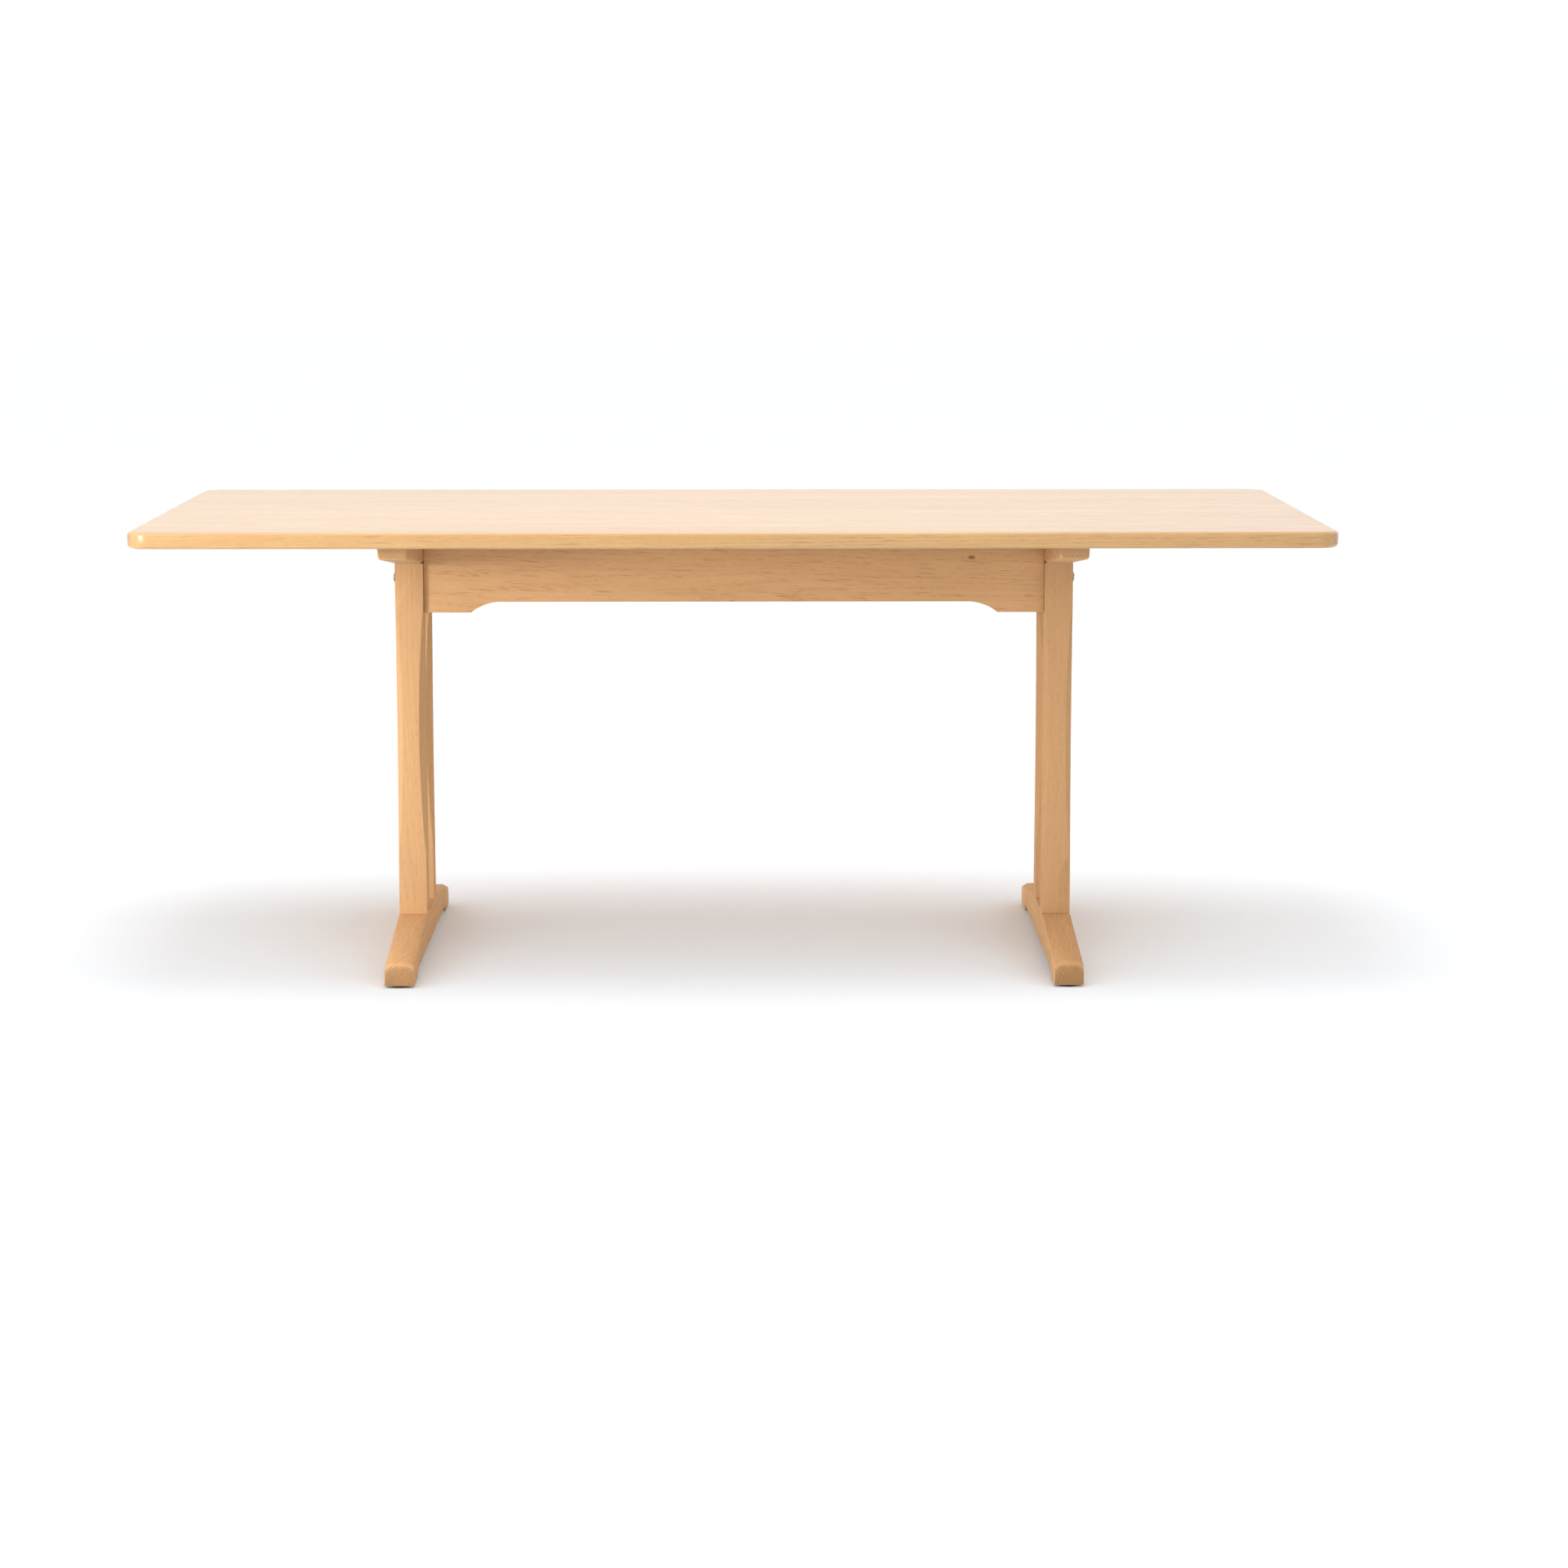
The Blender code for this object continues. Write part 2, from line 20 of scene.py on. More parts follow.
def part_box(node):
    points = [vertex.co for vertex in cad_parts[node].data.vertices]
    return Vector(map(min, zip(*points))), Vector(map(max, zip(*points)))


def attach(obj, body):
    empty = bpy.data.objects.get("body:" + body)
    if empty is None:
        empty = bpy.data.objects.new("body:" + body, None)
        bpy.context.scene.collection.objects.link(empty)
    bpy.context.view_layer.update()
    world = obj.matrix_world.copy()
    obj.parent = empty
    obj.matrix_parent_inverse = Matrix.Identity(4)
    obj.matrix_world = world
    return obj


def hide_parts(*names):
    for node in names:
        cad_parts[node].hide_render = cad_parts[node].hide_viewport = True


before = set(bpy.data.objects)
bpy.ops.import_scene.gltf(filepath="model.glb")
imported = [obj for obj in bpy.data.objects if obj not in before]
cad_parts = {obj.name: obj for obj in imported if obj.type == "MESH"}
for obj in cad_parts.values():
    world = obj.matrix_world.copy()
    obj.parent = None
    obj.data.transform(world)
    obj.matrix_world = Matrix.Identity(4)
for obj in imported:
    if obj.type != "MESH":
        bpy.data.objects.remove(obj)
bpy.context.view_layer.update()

LOG = logging.getLogger("communion_table")
ROOT = "root"

SIDES = ("left", "right")
ENDS = ("front", "back")

# A post's tenons, along the table and across it.
TENON = (0.015, 0.031)
# Room left round whatever sits in a hole, and how far a hole starts outside the wood.
GAP = 0.0003
OVERRUN = 0.01
# How far a drill runs on when it goes right through.
THROUGH = 0.1
# How near an edge, face or corner lies to the place that it is picked by.
NEAR = 0.0005
# How much of an edge's run, or of a face's normal, lies along the axis it is picked by.
MOSTLY = 0.9
SQUARE = 0.99
UPRIGHT = 0.999
SLANTED = 0.7
# The share of its room that a swept curve takes, so that it never runs into its neighbour.
SWEEP_SHARE = 0.97

Colour = tuple[float, float, float, float]
Triple = tuple[float, float, float]
Pair = tuple[float, float]
Socket = bpy.types.NodeSocket
Source = float | tuple[float, ...] | Vector | Socket
Test = Callable[[Vector, Vector], bool]

# How fast each of the oak's figures changes in a metre, along the grain and then across it.
SWAYS: tuple[tuple[Triple, float], ...] = (((1.1, 8.0, 8.0), 0.030), ((6.0, 45.0, 45.0), 0.0030))
DRIFT_PACE: Triple = (1.3, 11.0, 11.0)
WEAR_AND_HIGHLIGHT_PACE: Triple = (9.0, 30.0, 30.0)
PORE_PACE: Triple = (40.0, 850.0, 850.0)
DASH_PACE: Triple = (15.0, 520.0, 520.0)
STREAK_PACE: Triple = (9.0, 190.0, 190.0)
FIBRE_PACE: Triple = (30.0, 900.0, 900.0)
# The rays change along the grain, out from the pith and round it.
RAY_PACE: Triple = (120.0, 90.0, 95.0)


def paint(red: int, green: int, blue: int) -> Colour:
    """Turns a colour as a paint card gives it, 0 to 255, into the linear one that shaders take.

    Args:
        red: red part.
        green: green part.
        blue: blue part.

    Returns:
        The linear colour, opaque.
    """
    parts = [part / 255 for part in (red, green, blue)]
    linear = [p / 12.92 if p <= 0.04045 else ((p + 0.055) / 1.055) ** 2.4 for p in parts]
    return (linear[0], linear[1], linear[2], 1.0)


class Axis(Enum):
    """A way along the table: its length, its width or its height."""

    X = (1.0, 0.0, 0.0)
    Y = (0.0, 1.0, 0.0)
    Z = (0.0, 0.0, 1.0)

    @property
    def way(self) -> Vector:
        """The axis as a unit vector."""
        return Vector(self.value)

    @property
    def to_x(self) -> Matrix:
        """The turn that lays this axis along X."""
        return self.way.rotation_difference(Axis.X.way).to_matrix()

    @property
    def from_z(self) -> Euler:
        """The turn that lays Z along this axis."""
        return Axis.Z.way.rotation_difference(self.way).to_euler()


class Part(Enum):
    """What is picked on a mesh."""

    FACE = "FACE"
    EDGE = "EDGE"
    CORNER = "VERT"


class Bench:
    """One piece in hand, shaped in the way of a joiner, one cut at a time."""

    def __init__(self, thing: bpy.types.Object, name: str) -> None:
        """Takes a new object in hand and puts its place into its mesh.

        Args:
            thing: the object, just added.
            name: the piece's name.
        """
        self.thing = thing
        thing.name = thing.data.name = name
        self.settle()

    @classmethod
    def block(cls, name: str, low: Vector, high: Vector) -> "Bench":
        """Starts a piece from a sawn block.

        Args:
            name: the piece's name.
            low: the block's lowest corner.
            high: its highest corner.

        Returns:
            The block on the bench.
        """
        bpy.ops.object.select_all(action="DESELECT")
        bpy.ops.mesh.primitive_cube_add(size=1.0, location=(low + high) / 2, scale=high - low)
        return cls(bpy.context.active_object, name)

    @classmethod
    def rod(
        cls, name: str, middle: Vector, radius: float, length: float, axis: Axis, sides: int = 48
    ) -> "Bench":
        """Starts a piece from a round rod.

        Args:
            name: the piece's name.
            middle: the rod's middle.
            radius: its radius.
            length: its length.
            axis: the way it runs.
            sides: how many sides its circle has.

        Returns:
            The rod on the bench.
        """
        bpy.ops.object.select_all(action="DESELECT")
        bpy.ops.mesh.primitive_cylinder_add(
            vertices=sides, radius=radius, depth=length, location=middle, rotation=axis.from_z
        )
        return cls(bpy.context.active_object, name)

    def alone(self) -> None:
        """Selects this piece and nothing else."""
        bpy.ops.object.select_all(action="DESELECT")
        self.thing.select_set(True)
        bpy.context.view_layer.objects.active = self.thing

    def settle(self) -> None:
        """Puts the object's place, turn and size into its mesh."""
        self.alone()
        bpy.ops.object.transform_apply(location=True, rotation=True, scale=True)

    @contextmanager
    def editing(self) -> Iterator[None]:
        """Holds the piece in edit mode."""
        self.alone()
        bpy.ops.object.mode_set(mode="EDIT")
        yield
        bpy.ops.object.mode_set(mode="OBJECT")

    def pick(self, part: Part, test: Test) -> None:
        """Selects, in edit mode, the faces, edges or corners that pass a test.

        Args:
            part: what is picked.
            test: takes a face's middle and normal, an edge's middle and run, or a corner's
                place and normal.
        """
        bpy.ops.mesh.select_mode(type=part.value)
        bpy.ops.mesh.select_all(action="DESELECT")
        mesh = bmesh.from_edit_mesh(self.thing.data)
        if part is Part.FACE:
            mesh.normal_update()
            chosen = [f for f in mesh.faces if test(f.calc_center_median(), f.normal)]
        elif part is Part.CORNER:
            chosen = [v for v in mesh.verts if test(v.co, v.normal)]
        else:
            chosen = []
            for edge in mesh.edges:
                start, end = (corner.co for corner in edge.verts)
                if test((start + end) / 2, (end - start).normalized()):
                    chosen.append(edge)
        for element in chosen:
            element.select_set(True)
        bmesh.update_edit_mesh(self.thing.data)

    def saw(self, point: Vector, normal: Vector) -> None:
        """Marks a line all round the piece, in edit mode, where a plane crosses it.

        Args:
            point: a point of the plane.
            normal: the way that the plane looks.
        """
        bpy.ops.mesh.select_mode(type="FACE")
        bpy.ops.mesh.select_all(action="SELECT")
        bpy.ops.mesh.bisect(plane_co=point, plane_no=normal)

    def round_over(self, width: float, segments: int, kind: str = "OFFSET") -> None:
        """Rounds the picked edges, in edit mode.

        Args:
            width: the rounding's width.
            segments: how many strips it has.
            kind: how the width is measured.
        """
        bpy.ops.mesh.bevel(
            offset_type=kind, offset=width, segments=segments, profile=0.5, affect="EDGES"
        )

    def ease(self, width: float, segments: int, angle: float = 35.0) -> None:
        """Takes the arris off every sharp edge.

        Args:
            width: the arris's width.
            segments: how many strips it has.
            angle: how sharp an edge has to be, in degrees.
        """
        modifier = self.thing.modifiers.new("arris", "BEVEL")
        modifier.width = width
        modifier.segments = segments
        modifier.limit_method = "ANGLE"
        modifier.angle_limit = math.radians(angle)
        modifier.use_clamp_overlap = True
        self.alone()
        bpy.ops.object.modifier_apply(modifier=modifier.name)

    def cut(self, tool: "Bench") -> None:
        """Cuts another piece's shape out of this one, and puts the tool away.

        Args:
            tool: the piece that is cut out and then thrown away.
        """
        modifier = self.thing.modifiers.new("cut", "BOOLEAN")
        modifier.operation = "DIFFERENCE"
        modifier.solver = "EXACT"
        modifier.object = tool.thing
        self.alone()
        bpy.ops.object.modifier_apply(modifier=modifier.name)
        mesh = tool.thing.data
        bpy.data.objects.remove(tool.thing)
        bpy.data.meshes.remove(mesh)

    def bore(self, low: Vector, high: Vector, axis: Axis, radius: float) -> None:
        """Drills a round hole.

        Args:
            low: the middle of the hole's lower end.
            high: the middle of its upper end.
            axis: the way it runs.
            radius: its radius.
        """
        depth = (high - low).dot(axis.way)
        self.cut(Bench.rod("bit", (low + high) / 2, radius, depth, axis, 24))

    def tenon(self, end: Vector, width: Vector, length: float) -> None:
        """Draws a tenon out of the face that looks along one way, in edit mode.

        Args:
            end: the way that the end face looks.
            width: the tenon's share of the end face, along each axis.
            length: how far it stands out.
        """
        self.pick(Part.FACE, lambda _, normal: normal.dot(end) > SQUARE)
        mesh = bmesh.from_edit_mesh(self.thing.data)
        middle = next(face.calc_center_median() for face in mesh.faces if face.select)
        bpy.ops.mesh.extrude_region_move(TRANSFORM_OT_translate={"value": (0, 0, 0)})
        bpy.ops.transform.resize(value=width, center_override=middle)
        bpy.ops.mesh.extrude_region_move(TRANSFORM_OT_translate={"value": end * length})

    def finish(self, angle: float = 40.0) -> None:
        """Merges doubles, turns faces outwards and smooths the soft edges.

        Args:
            angle: how sharp an edge stays crisp, in degrees.
        """
        with self.editing():
            bpy.ops.mesh.select_all(action="SELECT")
            bpy.ops.mesh.remove_doubles(threshold=0.00001)
            bpy.ops.mesh.normals_make_consistent(inside=False)
        self._mark_arris()
        self.alone()
        bpy.ops.object.shade_smooth_by_angle(angle=math.radians(angle))

    def _mark_arris(self, narrow: float = 0.0026) -> None:
        """Marks the middle of every rounded arris, which hands and cloths rub first and where a
        highlight is painted.

        Args:
            narrow: the widest strip that counts as part of a rounding.
        """
        mesh = bmesh.new()
        mesh.from_mesh(self.thing.data)
        thin = {f.index: min(e.calc_length() for e in f.edges) < narrow for f in mesh.faces}
        marks = [float(all(thin[f.index] for f in v.link_faces)) for v in mesh.verts]
        mesh.free()
        layer = self.thing.data.attributes.new("arris", "FLOAT", "POINT")
        layer.data.foreach_set("value", marks)

    def copy(self, name: str, shift: Vector, half_turn: bool = False) -> "Bench":
        """Makes a copy with its own mesh.

        Args:
            name: the copy's name.
            shift: how far it is moved, after any turn.
            half_turn: whether it is turned end for end about the table's upright axis.

        Returns:
            The copy on the bench.
        """
        self.alone()
        bpy.ops.object.duplicate(linked=False)
        twin = bpy.context.active_object
        twin.rotation_euler = (0.0, 0.0, math.pi if half_turn else 0.0)
        twin.location = shift
        return Bench(twin, name)

    def copy_to(self, name: str, start: Vector, goal: Vector, half_turn: bool = False) -> "Bench":
        """Makes a copy that carries one point to another.

        Args:
            name: the copy's name.
            start: the point on this piece.
            goal: where it comes to.
            half_turn: whether the copy is turned end for end about the upright axis.

        Returns:
            The copy on the bench.
        """
        turned = Vector((-start.x, -start.y, start.z)) if half_turn else start
        return self.copy(name, goal - turned, half_turn)

    def install(self, node: str, slot: str, material: bpy.types.Material) -> None:
        """Dresses the piece and sets it in its node's place.

        Args:
            node: the frame's node that it stands for.
            slot: the record's material slot; not used.
            material: its finish.
        """
        self.thing.data.materials.clear()
        self.thing.data.materials.append(material)
        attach(self.thing, ROOT)
        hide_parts(node)
        faces = len(self.thing.data.polygons)
        LOG.info("%s stands for %s, %d faces", self.thing.name, node, faces)


class Sheet:
    """A material's node sheet, on which nodes are laid and wired."""

    def __init__(self, name: str) -> None:
        """Starts an empty sheet for a new material.

        Args:
            name: the material's name.
        """
        self.material = bpy.data.materials.new(name)
        self.material.use_nodes = True
        self.tree = self.material.node_tree
        self.tree.nodes.clear()

    def lay(self, kind: str, wires: dict[str | int, Source], **settings: object) -> bpy.types.Node:
        """Lays one node.

        Args:
            kind: the node's type, without its first word.
            wires: what goes into each socket, a value or another node's output.
            **settings: the node's own choices.

        Returns:
            The node.
        """
        node = self.tree.nodes.new("ShaderNode" + kind)
        for name, value in settings.items():
            setattr(node, name, value)
        for key, source in wires.items():
            if isinstance(source, bpy.types.NodeSocket):
                self.tree.links.new(source, node.inputs[key])
            else:
                node.inputs[key].default_value = source
        return node

    def maths(self, operation: str, *terms: Source) -> Socket:
        """Works out one number, from an operation's name and its terms."""
        return self.lay("Math", dict(enumerate(terms)), operation=operation).outputs[0]

    def vector(self, operation: str, *terms: Source) -> bpy.types.Node:
        """Works out one vector, and returns the whole node, as some results are numbers."""
        return self.lay("VectorMath", dict(enumerate(terms)), operation=operation)

    def scaled(self, place: Source, pace: Triple) -> Socket:
        """Multiplies each part of a place by its own pace."""
        return self.vector("MULTIPLY", place, pace).outputs[0]

    def noise(self, place: Source, detail: float = 2.0, roughness: float = 0.5) -> bpy.types.Node:
        """Lays soft noise whose grain is one unit of its place."""
        wires = {"Vector": place, "Scale": 1.0, "Detail": detail, "Roughness": roughness}
        return self.lay("TexNoise", wires, noise_dimensions="3D")

    def ramp(self, value: Source, low: float, high: float, to: Pair = (0.0, 1.0)) -> Socket:
        """Eases one range of numbers into another.

        Args:
            value: the number.
            low: where the range starts.
            high: where it ends.
            to: what its start and end become.

        Returns:
            The result's socket.
        """
        wires = {0: value, 1: low, 2: high, 3: to[0], 4: to[1]}
        return self.lay("MapRange", wires, interpolation_type="SMOOTHSTEP").outputs[0]

    def tint(self, share: Source, under: Source, over: Source, mode: str = "MIX") -> Socket:
        """Lays one colour over another.

        Args:
            share: how much of it shows.
            under: the colour below.
            over: the colour above.
            mode: how the two are mixed.

        Returns:
            The result's socket.
        """
        wires = {0: share, 6: under, 7: over}
        return self.lay("Mix", wires, data_type="RGBA", blend_type=mode).outputs[2]

    def done(self, kind: str, wires: dict[str | int, Source]) -> bpy.types.Material:
        """Lays the shader, wires it to the surface and hands the material over.

        Args:
            kind: the shader's type, without its first words.
            wires: what goes into each of its sockets.

        Returns:
            The material.
        """
        self.lay("OutputMaterial", {0: self.lay("Bsdf" + kind, wires).outputs[0]})
        return self.material


@dataclass(frozen=True)
class Cut:
    """How one piece was cut from its log.

    Attributes:
        grain: the way that the grain runs.
        pith: a point of the log's pith.
        tilt: how far the grain strays from its way, in radians.
        along: how far up the log the piece lay.
        tone: how light the piece is next to its neighbours; on the trestles it is painted light,
            the left side lighter than the right.
        knot: the middle of its knot, if it has one.
    """

    grain: Axis
    pith: Triple
    tilt: Pair = (0.0, 0.0)
    along: float = 0.0
    tone: float = 1.0
    knot: Triple | None = None


@dataclass(frozen=True)
class Oak:
    """Oak under a clear finish, each figure with the share of its colour that shows."""

    pale: Colour
    deep: Colour
    pore: Colour
    fleck_and_highlight: Colour
    ring: float = 0.0030
    ring_wander: float = 3.0
    ring_wander_pace: float = 60.0
    early_end: float = 0.45
    late_depth: float = 0.55
    ring_share: float = 0.34
    streak_share: float = 0.30
    pore_share: float = 0.42
    fleck_share: float = 0.25
    dash_share: float = 0.45
    end_rings: float = 0.85
    end_shade: float = 0.84
    # How pale the arrises are painted, for rubbed wood and a painted highlight.
    wear_and_highlight: float = 0.25
    knot_size: float = 0.0045
    knot_share: float = 0.75
    knot_bend: float = 1.6
    roughness: float = 0.68
    shine: float = 0.06
    coat: float = 0.0
    coat_roughness: float = 0.25
    bump: float = 0.35
    bump_depth: float = 0.0003

    def material(self, name: str, cut: Cut) -> bpy.types.Material:
        """Builds this oak for one piece.

        Args:
            name: the material's name.
            cut: how the piece lay in its log.

        Returns:
            The material.
        """
        sheet = Sheet(name)
        place = sheet.lay("TexCoord", {})
        log = self._log(sheet, place.outputs["Object"], cut)
        parts = sheet.lay("SeparateXYZ", {0: log})
        radius = sheet.vector("LENGTH", sheet.scaled(log, (0.0, 1.0, 1.0))).outputs[1]
        if cut.knot:
            heart, bend = self._knot(sheet, place.outputs["Object"], cut)
            radius = sheet.maths("MULTIPLY_ADD", bend, self.knot_bend * self.ring, radius)
        early, ring = self._rings(sheet, radius)
        pores = self._pores(sheet, log, early)
        streak = self._streaks(sheet, log)
        looks = sheet.vector("DOT_PRODUCT", place.outputs["Normal"], cut.grain.way).outputs[1]
        end = sheet.ramp(sheet.maths("ABSOLUTE", looks), 0.55, 0.95)

        # Each figure's colour goes over the wood in its own share, the rings' more on end grain.
        ring_share = sheet.maths("MULTIPLY_ADD", end, self.end_rings, self.ring_share)
        wood = sheet.tint(sheet.maths("MULTIPLY", ring, ring_share), self.pale, self.deep)
        for figure, share, colour in (
            (streak, self.streak_share, self.deep),
            (self._flecks(sheet, parts, radius), self.fleck_share, self.fleck_and_highlight),
            (pores, self.pore_share, self.pore),
            (self._dashes(sheet, log), self.dash_share, self.pore),
        ):
            wood = sheet.tint(sheet.maths("MULTIPLY", figure, share), wood, colour)
        if cut.knot:
            wood = sheet.tint(sheet.maths("MULTIPLY", heart, self.knot_share), wood, self.pore)
        level = self._level(sheet, log, end, cut.tone)
        wood = sheet.tint(1.0, wood, level, "MULTIPLY")
        # The arrises are painted paler: partly rubbed wood, partly a painted highlight.
        worn_and_highlit = self._worn_and_highlit(sheet, log)
        wood = sheet.tint(sheet.maths("MULTIPLY", worn_and_highlit, self.wear_and_highlight), wood, self.fleck_and_highlight)

        rough: Source = self.roughness
        for figure, change in ((pores, 0.22), (streak, 0.08), (worn_and_highlit, -0.08), (end, 0.14)):
            rough = sheet.maths("MULTIPLY_ADD", figure, change, rough)
        height = sheet.maths("MULTIPLY_ADD", pores, -1.0, sheet.maths("MULTIPLY", streak, 0.45))
        height = sheet.maths("MULTIPLY_ADD", early, -0.30, height)
        wires = {"Strength": self.bump, "Distance": self.bump_depth, "Height": height}
        bump = sheet.lay("Bump", wires).outputs[0]
        wires = {"Base Color": wood, "Roughness": rough, "Normal": bump}
        wires |= {"Specular IOR Level": self.shine}
        wires |= {"Coat Weight": self.coat, "Coat Roughness": self.coat_roughness}
        return sheet.done("Principled", wires)

    def _level(self, sheet: Sheet, log: Source, end: Source, tone: float) -> Socket:
        """Lays how light the wood is: it drifts along the board, and end grain is darker.

        Args:
            sheet: the node sheet.
            log: the point in the log.
            end: how far the face looks along the grain.
            tone: how light the whole piece is, with painted side light on the trestles.

        Returns:
            The level as a grey.
        """
        drift = sheet.noise(sheet.scaled(log, DRIFT_PACE)).outputs[0]
        level = sheet.ramp(drift, 0.3, 0.7, (0.95 * tone, 1.05 * tone))
        level = sheet.maths("MULTIPLY", level, sheet.ramp(end, 0.0, 1.0, (1.0, self.end_shade)))
        return sheet.lay("CombineColor", {0: level, 1: level, 2: level}).outputs[0]

    def _worn_and_highlit(self, sheet: Sheet, log: Source) -> Socket:
        """Lays the paler wood of the arrises in patches: rubbed wood, and a painted highlight.

        Args:
            sheet: the node sheet.
            log: the point in the log.

        Returns:
            How rubbed and painted-highlit the point is.
        """
        arris = sheet.lay("Attribute", {}, attribute_name="arris").outputs["Fac"]
        patch = sheet.noise(sheet.scaled(log, WEAR_AND_HIGHLIGHT_PACE), 3.0).outputs[0]
        return sheet.maths("MULTIPLY", arris, sheet.ramp(patch, 0.30, 0.55, (0.5, 1.0)))

    def _knot(self, sheet: Sheet, place: Source, cut: Cut) -> tuple[Socket, Socket]:
        """Lays one small knot, with the grain bent round it.

        Args:
            sheet: the node sheet.
            place: the point on the piece.
            cut: how the piece was cut, with its knot's middle.

        Returns:
            How much of the point is knot, and how far the grain is bent there.
        """
        away = sheet.vector("SUBTRACT", place, cut.knot).outputs[0]
        long = tuple(0.55 if part else 1.0 for part in cut.grain.value)
        far = sheet.vector("LENGTH", sheet.scaled(away, long)).outputs[1]
        heart = sheet.ramp(far, 0.35 * self.knot_size, self.knot_size, (1.0, 0.0))
        return heart, sheet.ramp(far, self.knot_size, 5.0 * self.knot_size, (1.0, 0.0))

    def _log(self, sheet: Sheet, place: Source, cut: Cut) -> Socket:
        """Turns a point of the piece into a point of the log, with the pith along X.

        Args:
            sheet: the node sheet.
            place: the point on the piece.
            cut: how the piece lay in the log.

        Returns:
            The point's socket, wandering a little as real grain does.
        """
        turn = Euler((0.0, cut.tilt[0], cut.tilt[1])).to_matrix() @ cut.grain.to_x
        shift = Vector((cut.along, 0.0, 0.0)) - turn @ Vector(cut.pith)
        wires = {"Vector": place, "Location": shift, "Rotation": turn.to_euler()}
        log = sheet.lay("Mapping", wires, vector_type="POINT").outputs[0]
        for pace, sway in SWAYS:
            noise = sheet.noise(sheet.scaled(log, pace)).outputs["Color"]
            centred = sheet.vector("SUBTRACT", noise, (0.5, 0.5, 0.5)).outputs[0]
            bend = sheet.scaled(centred, (0.0, sway, sway))
            log = sheet.vector("ADD", log, bend).outputs[0]
        return log

    def _rings(self, sheet: Sheet, radius: Source) -> tuple[Socket, Socket]:
        """Lays growth rings round the pith.

        Args:
            sheet: the node sheet.
            radius: the distance from the pith.

        Returns:
            How porous the wood is, and how deep its ring's colour is.
        """
        wires = {"W": radius, "Scale": self.ring_wander_pace, "Detail": 1.0}
        uneven = sheet.lay("TexNoise", wires, noise_dimensions="1D").outputs[0]
        years = sheet.maths("MULTIPLY", radius, 1.0 / self.ring)
        count = sheet.maths("MULTIPLY_ADD", uneven, self.ring_wander, years)
        share = sheet.maths("FRACT", count)
        early = sheet.ramp(share, 0.0, self.early_end, (1.0, 0.0))
        late = sheet.ramp(share, self.early_end, 1.0, (0.0, self.late_depth))
        return early, sheet.maths("ADD", early, late)

    def _pores(self, sheet: Sheet, log: Source, early: Source) -> Socket:
        """Lays open pores, which crowd in the early part of each ring.

        Args:
            sheet: the node sheet.
            log: the point in the log.
            early: how porous the wood is.

        Returns:
            The pores' socket.
        """
        wires = {"Vector": sheet.scaled(log, PORE_PACE), "Scale": 1.0}
        near = sheet.lay("TexVoronoi", wires).outputs[0]
        dots = sheet.ramp(near, 0.20, 0.42, (1.0, 0.0))
        return sheet.maths("MULTIPLY", dots, sheet.maths("MULTIPLY_ADD", early, 0.85, 0.15))

    def _dashes(self, sheet: Sheet, log: Source) -> Socket:
        """Lays a few longer, darker vessels, each a fine short dash along the grain.

        Args:
            sheet: the node sheet.
            log: the point in the log.

        Returns:
            The dashes' socket.
        """
        near = sheet.lay("TexVoronoi", {"Vector": sheet.scaled(log, DASH_PACE), "Scale": 1.0})
        chosen = sheet.ramp(near.outputs[1], 0.62, 0.70)
        dots = sheet.ramp(near.outputs[0], 0.12, 0.34, (1.0, 0.0))
        return sheet.maths("MULTIPLY", chosen, dots)

    def _flecks(self, sheet: Sheet, parts: bpy.types.Node, radius: Source) -> Socket:
        """Lays the rays that run out from the pith.

        Args:
            sheet: the node sheet.
            parts: the point in the log, by axis.
            radius: the distance from the pith.

        Returns:
            The rays' socket.
        """
        angle = sheet.maths("ARCTAN2", parts.outputs[2], parts.outputs[1])
        along, out, around = RAY_PACE
        wires = {
            0: sheet.maths("MULTIPLY", angle, around),
            1: sheet.maths("MULTIPLY", radius, out),
            2: sheet.maths("MULTIPLY", parts.outputs[0], along),
        }
        noise = sheet.noise(sheet.lay("CombineXYZ", wires).outputs[0], 1.0).outputs[0]
        return sheet.ramp(noise, 0.58, 0.70)

    def _streaks(self, sheet: Sheet, log: Source) -> Socket:
        """Lays long fine streaks of deeper colour along the grain.

        Args:
            sheet: the node sheet.
            log: the point in the log.

        Returns:
            The streaks' socket.
        """
        coarse = sheet.noise(sheet.scaled(log, STREAK_PACE), 4.0, 0.6).outputs[0]
        fine = sheet.noise(sheet.scaled(log, FIBRE_PACE)).outputs[0]
        both = sheet.maths("MULTIPLY_ADD", fine, 0.35, sheet.maths("MULTIPLY", coarse, 0.65))
        return sheet.ramp(both, 0.36, 0.66)


@dataclass(frozen=True)
class Metal:
    """A plated steel."""

    colour: Colour
    tarnish: Colour
    roughness: float

    def material(self, name: str) -> bpy.types.Material:
        """Builds the plating, with tarnish in patches and fine brushing.

        Args:
            name: the material's name.

        Returns:
            The material.
        """
        sheet = Sheet(name)
        place = sheet.lay("TexCoord", {}).outputs["Object"]
        patch = sheet.noise(sheet.scaled(place, (160.0, 160.0, 160.0)), 4.0)
        brush = sheet.noise(sheet.scaled(place, (900.0, 4000.0, 900.0)))
        old = sheet.ramp(patch.outputs[0], 0.42, 0.68)
        colour = sheet.tint(old, self.colour, self.tarnish)
        rough = sheet.maths("MULTIPLY_ADD", old, 0.22, self.roughness)
        bump = sheet.lay("Bump", {"Strength": 0.2, "Distance": 0.0001, "Height": brush.outputs[0]})
        wires = {"Base Color": colour, "Metallic": 1.0, "Roughness": rough}
        return sheet.done("Principled", wires | {"Normal": bump.outputs[0]})


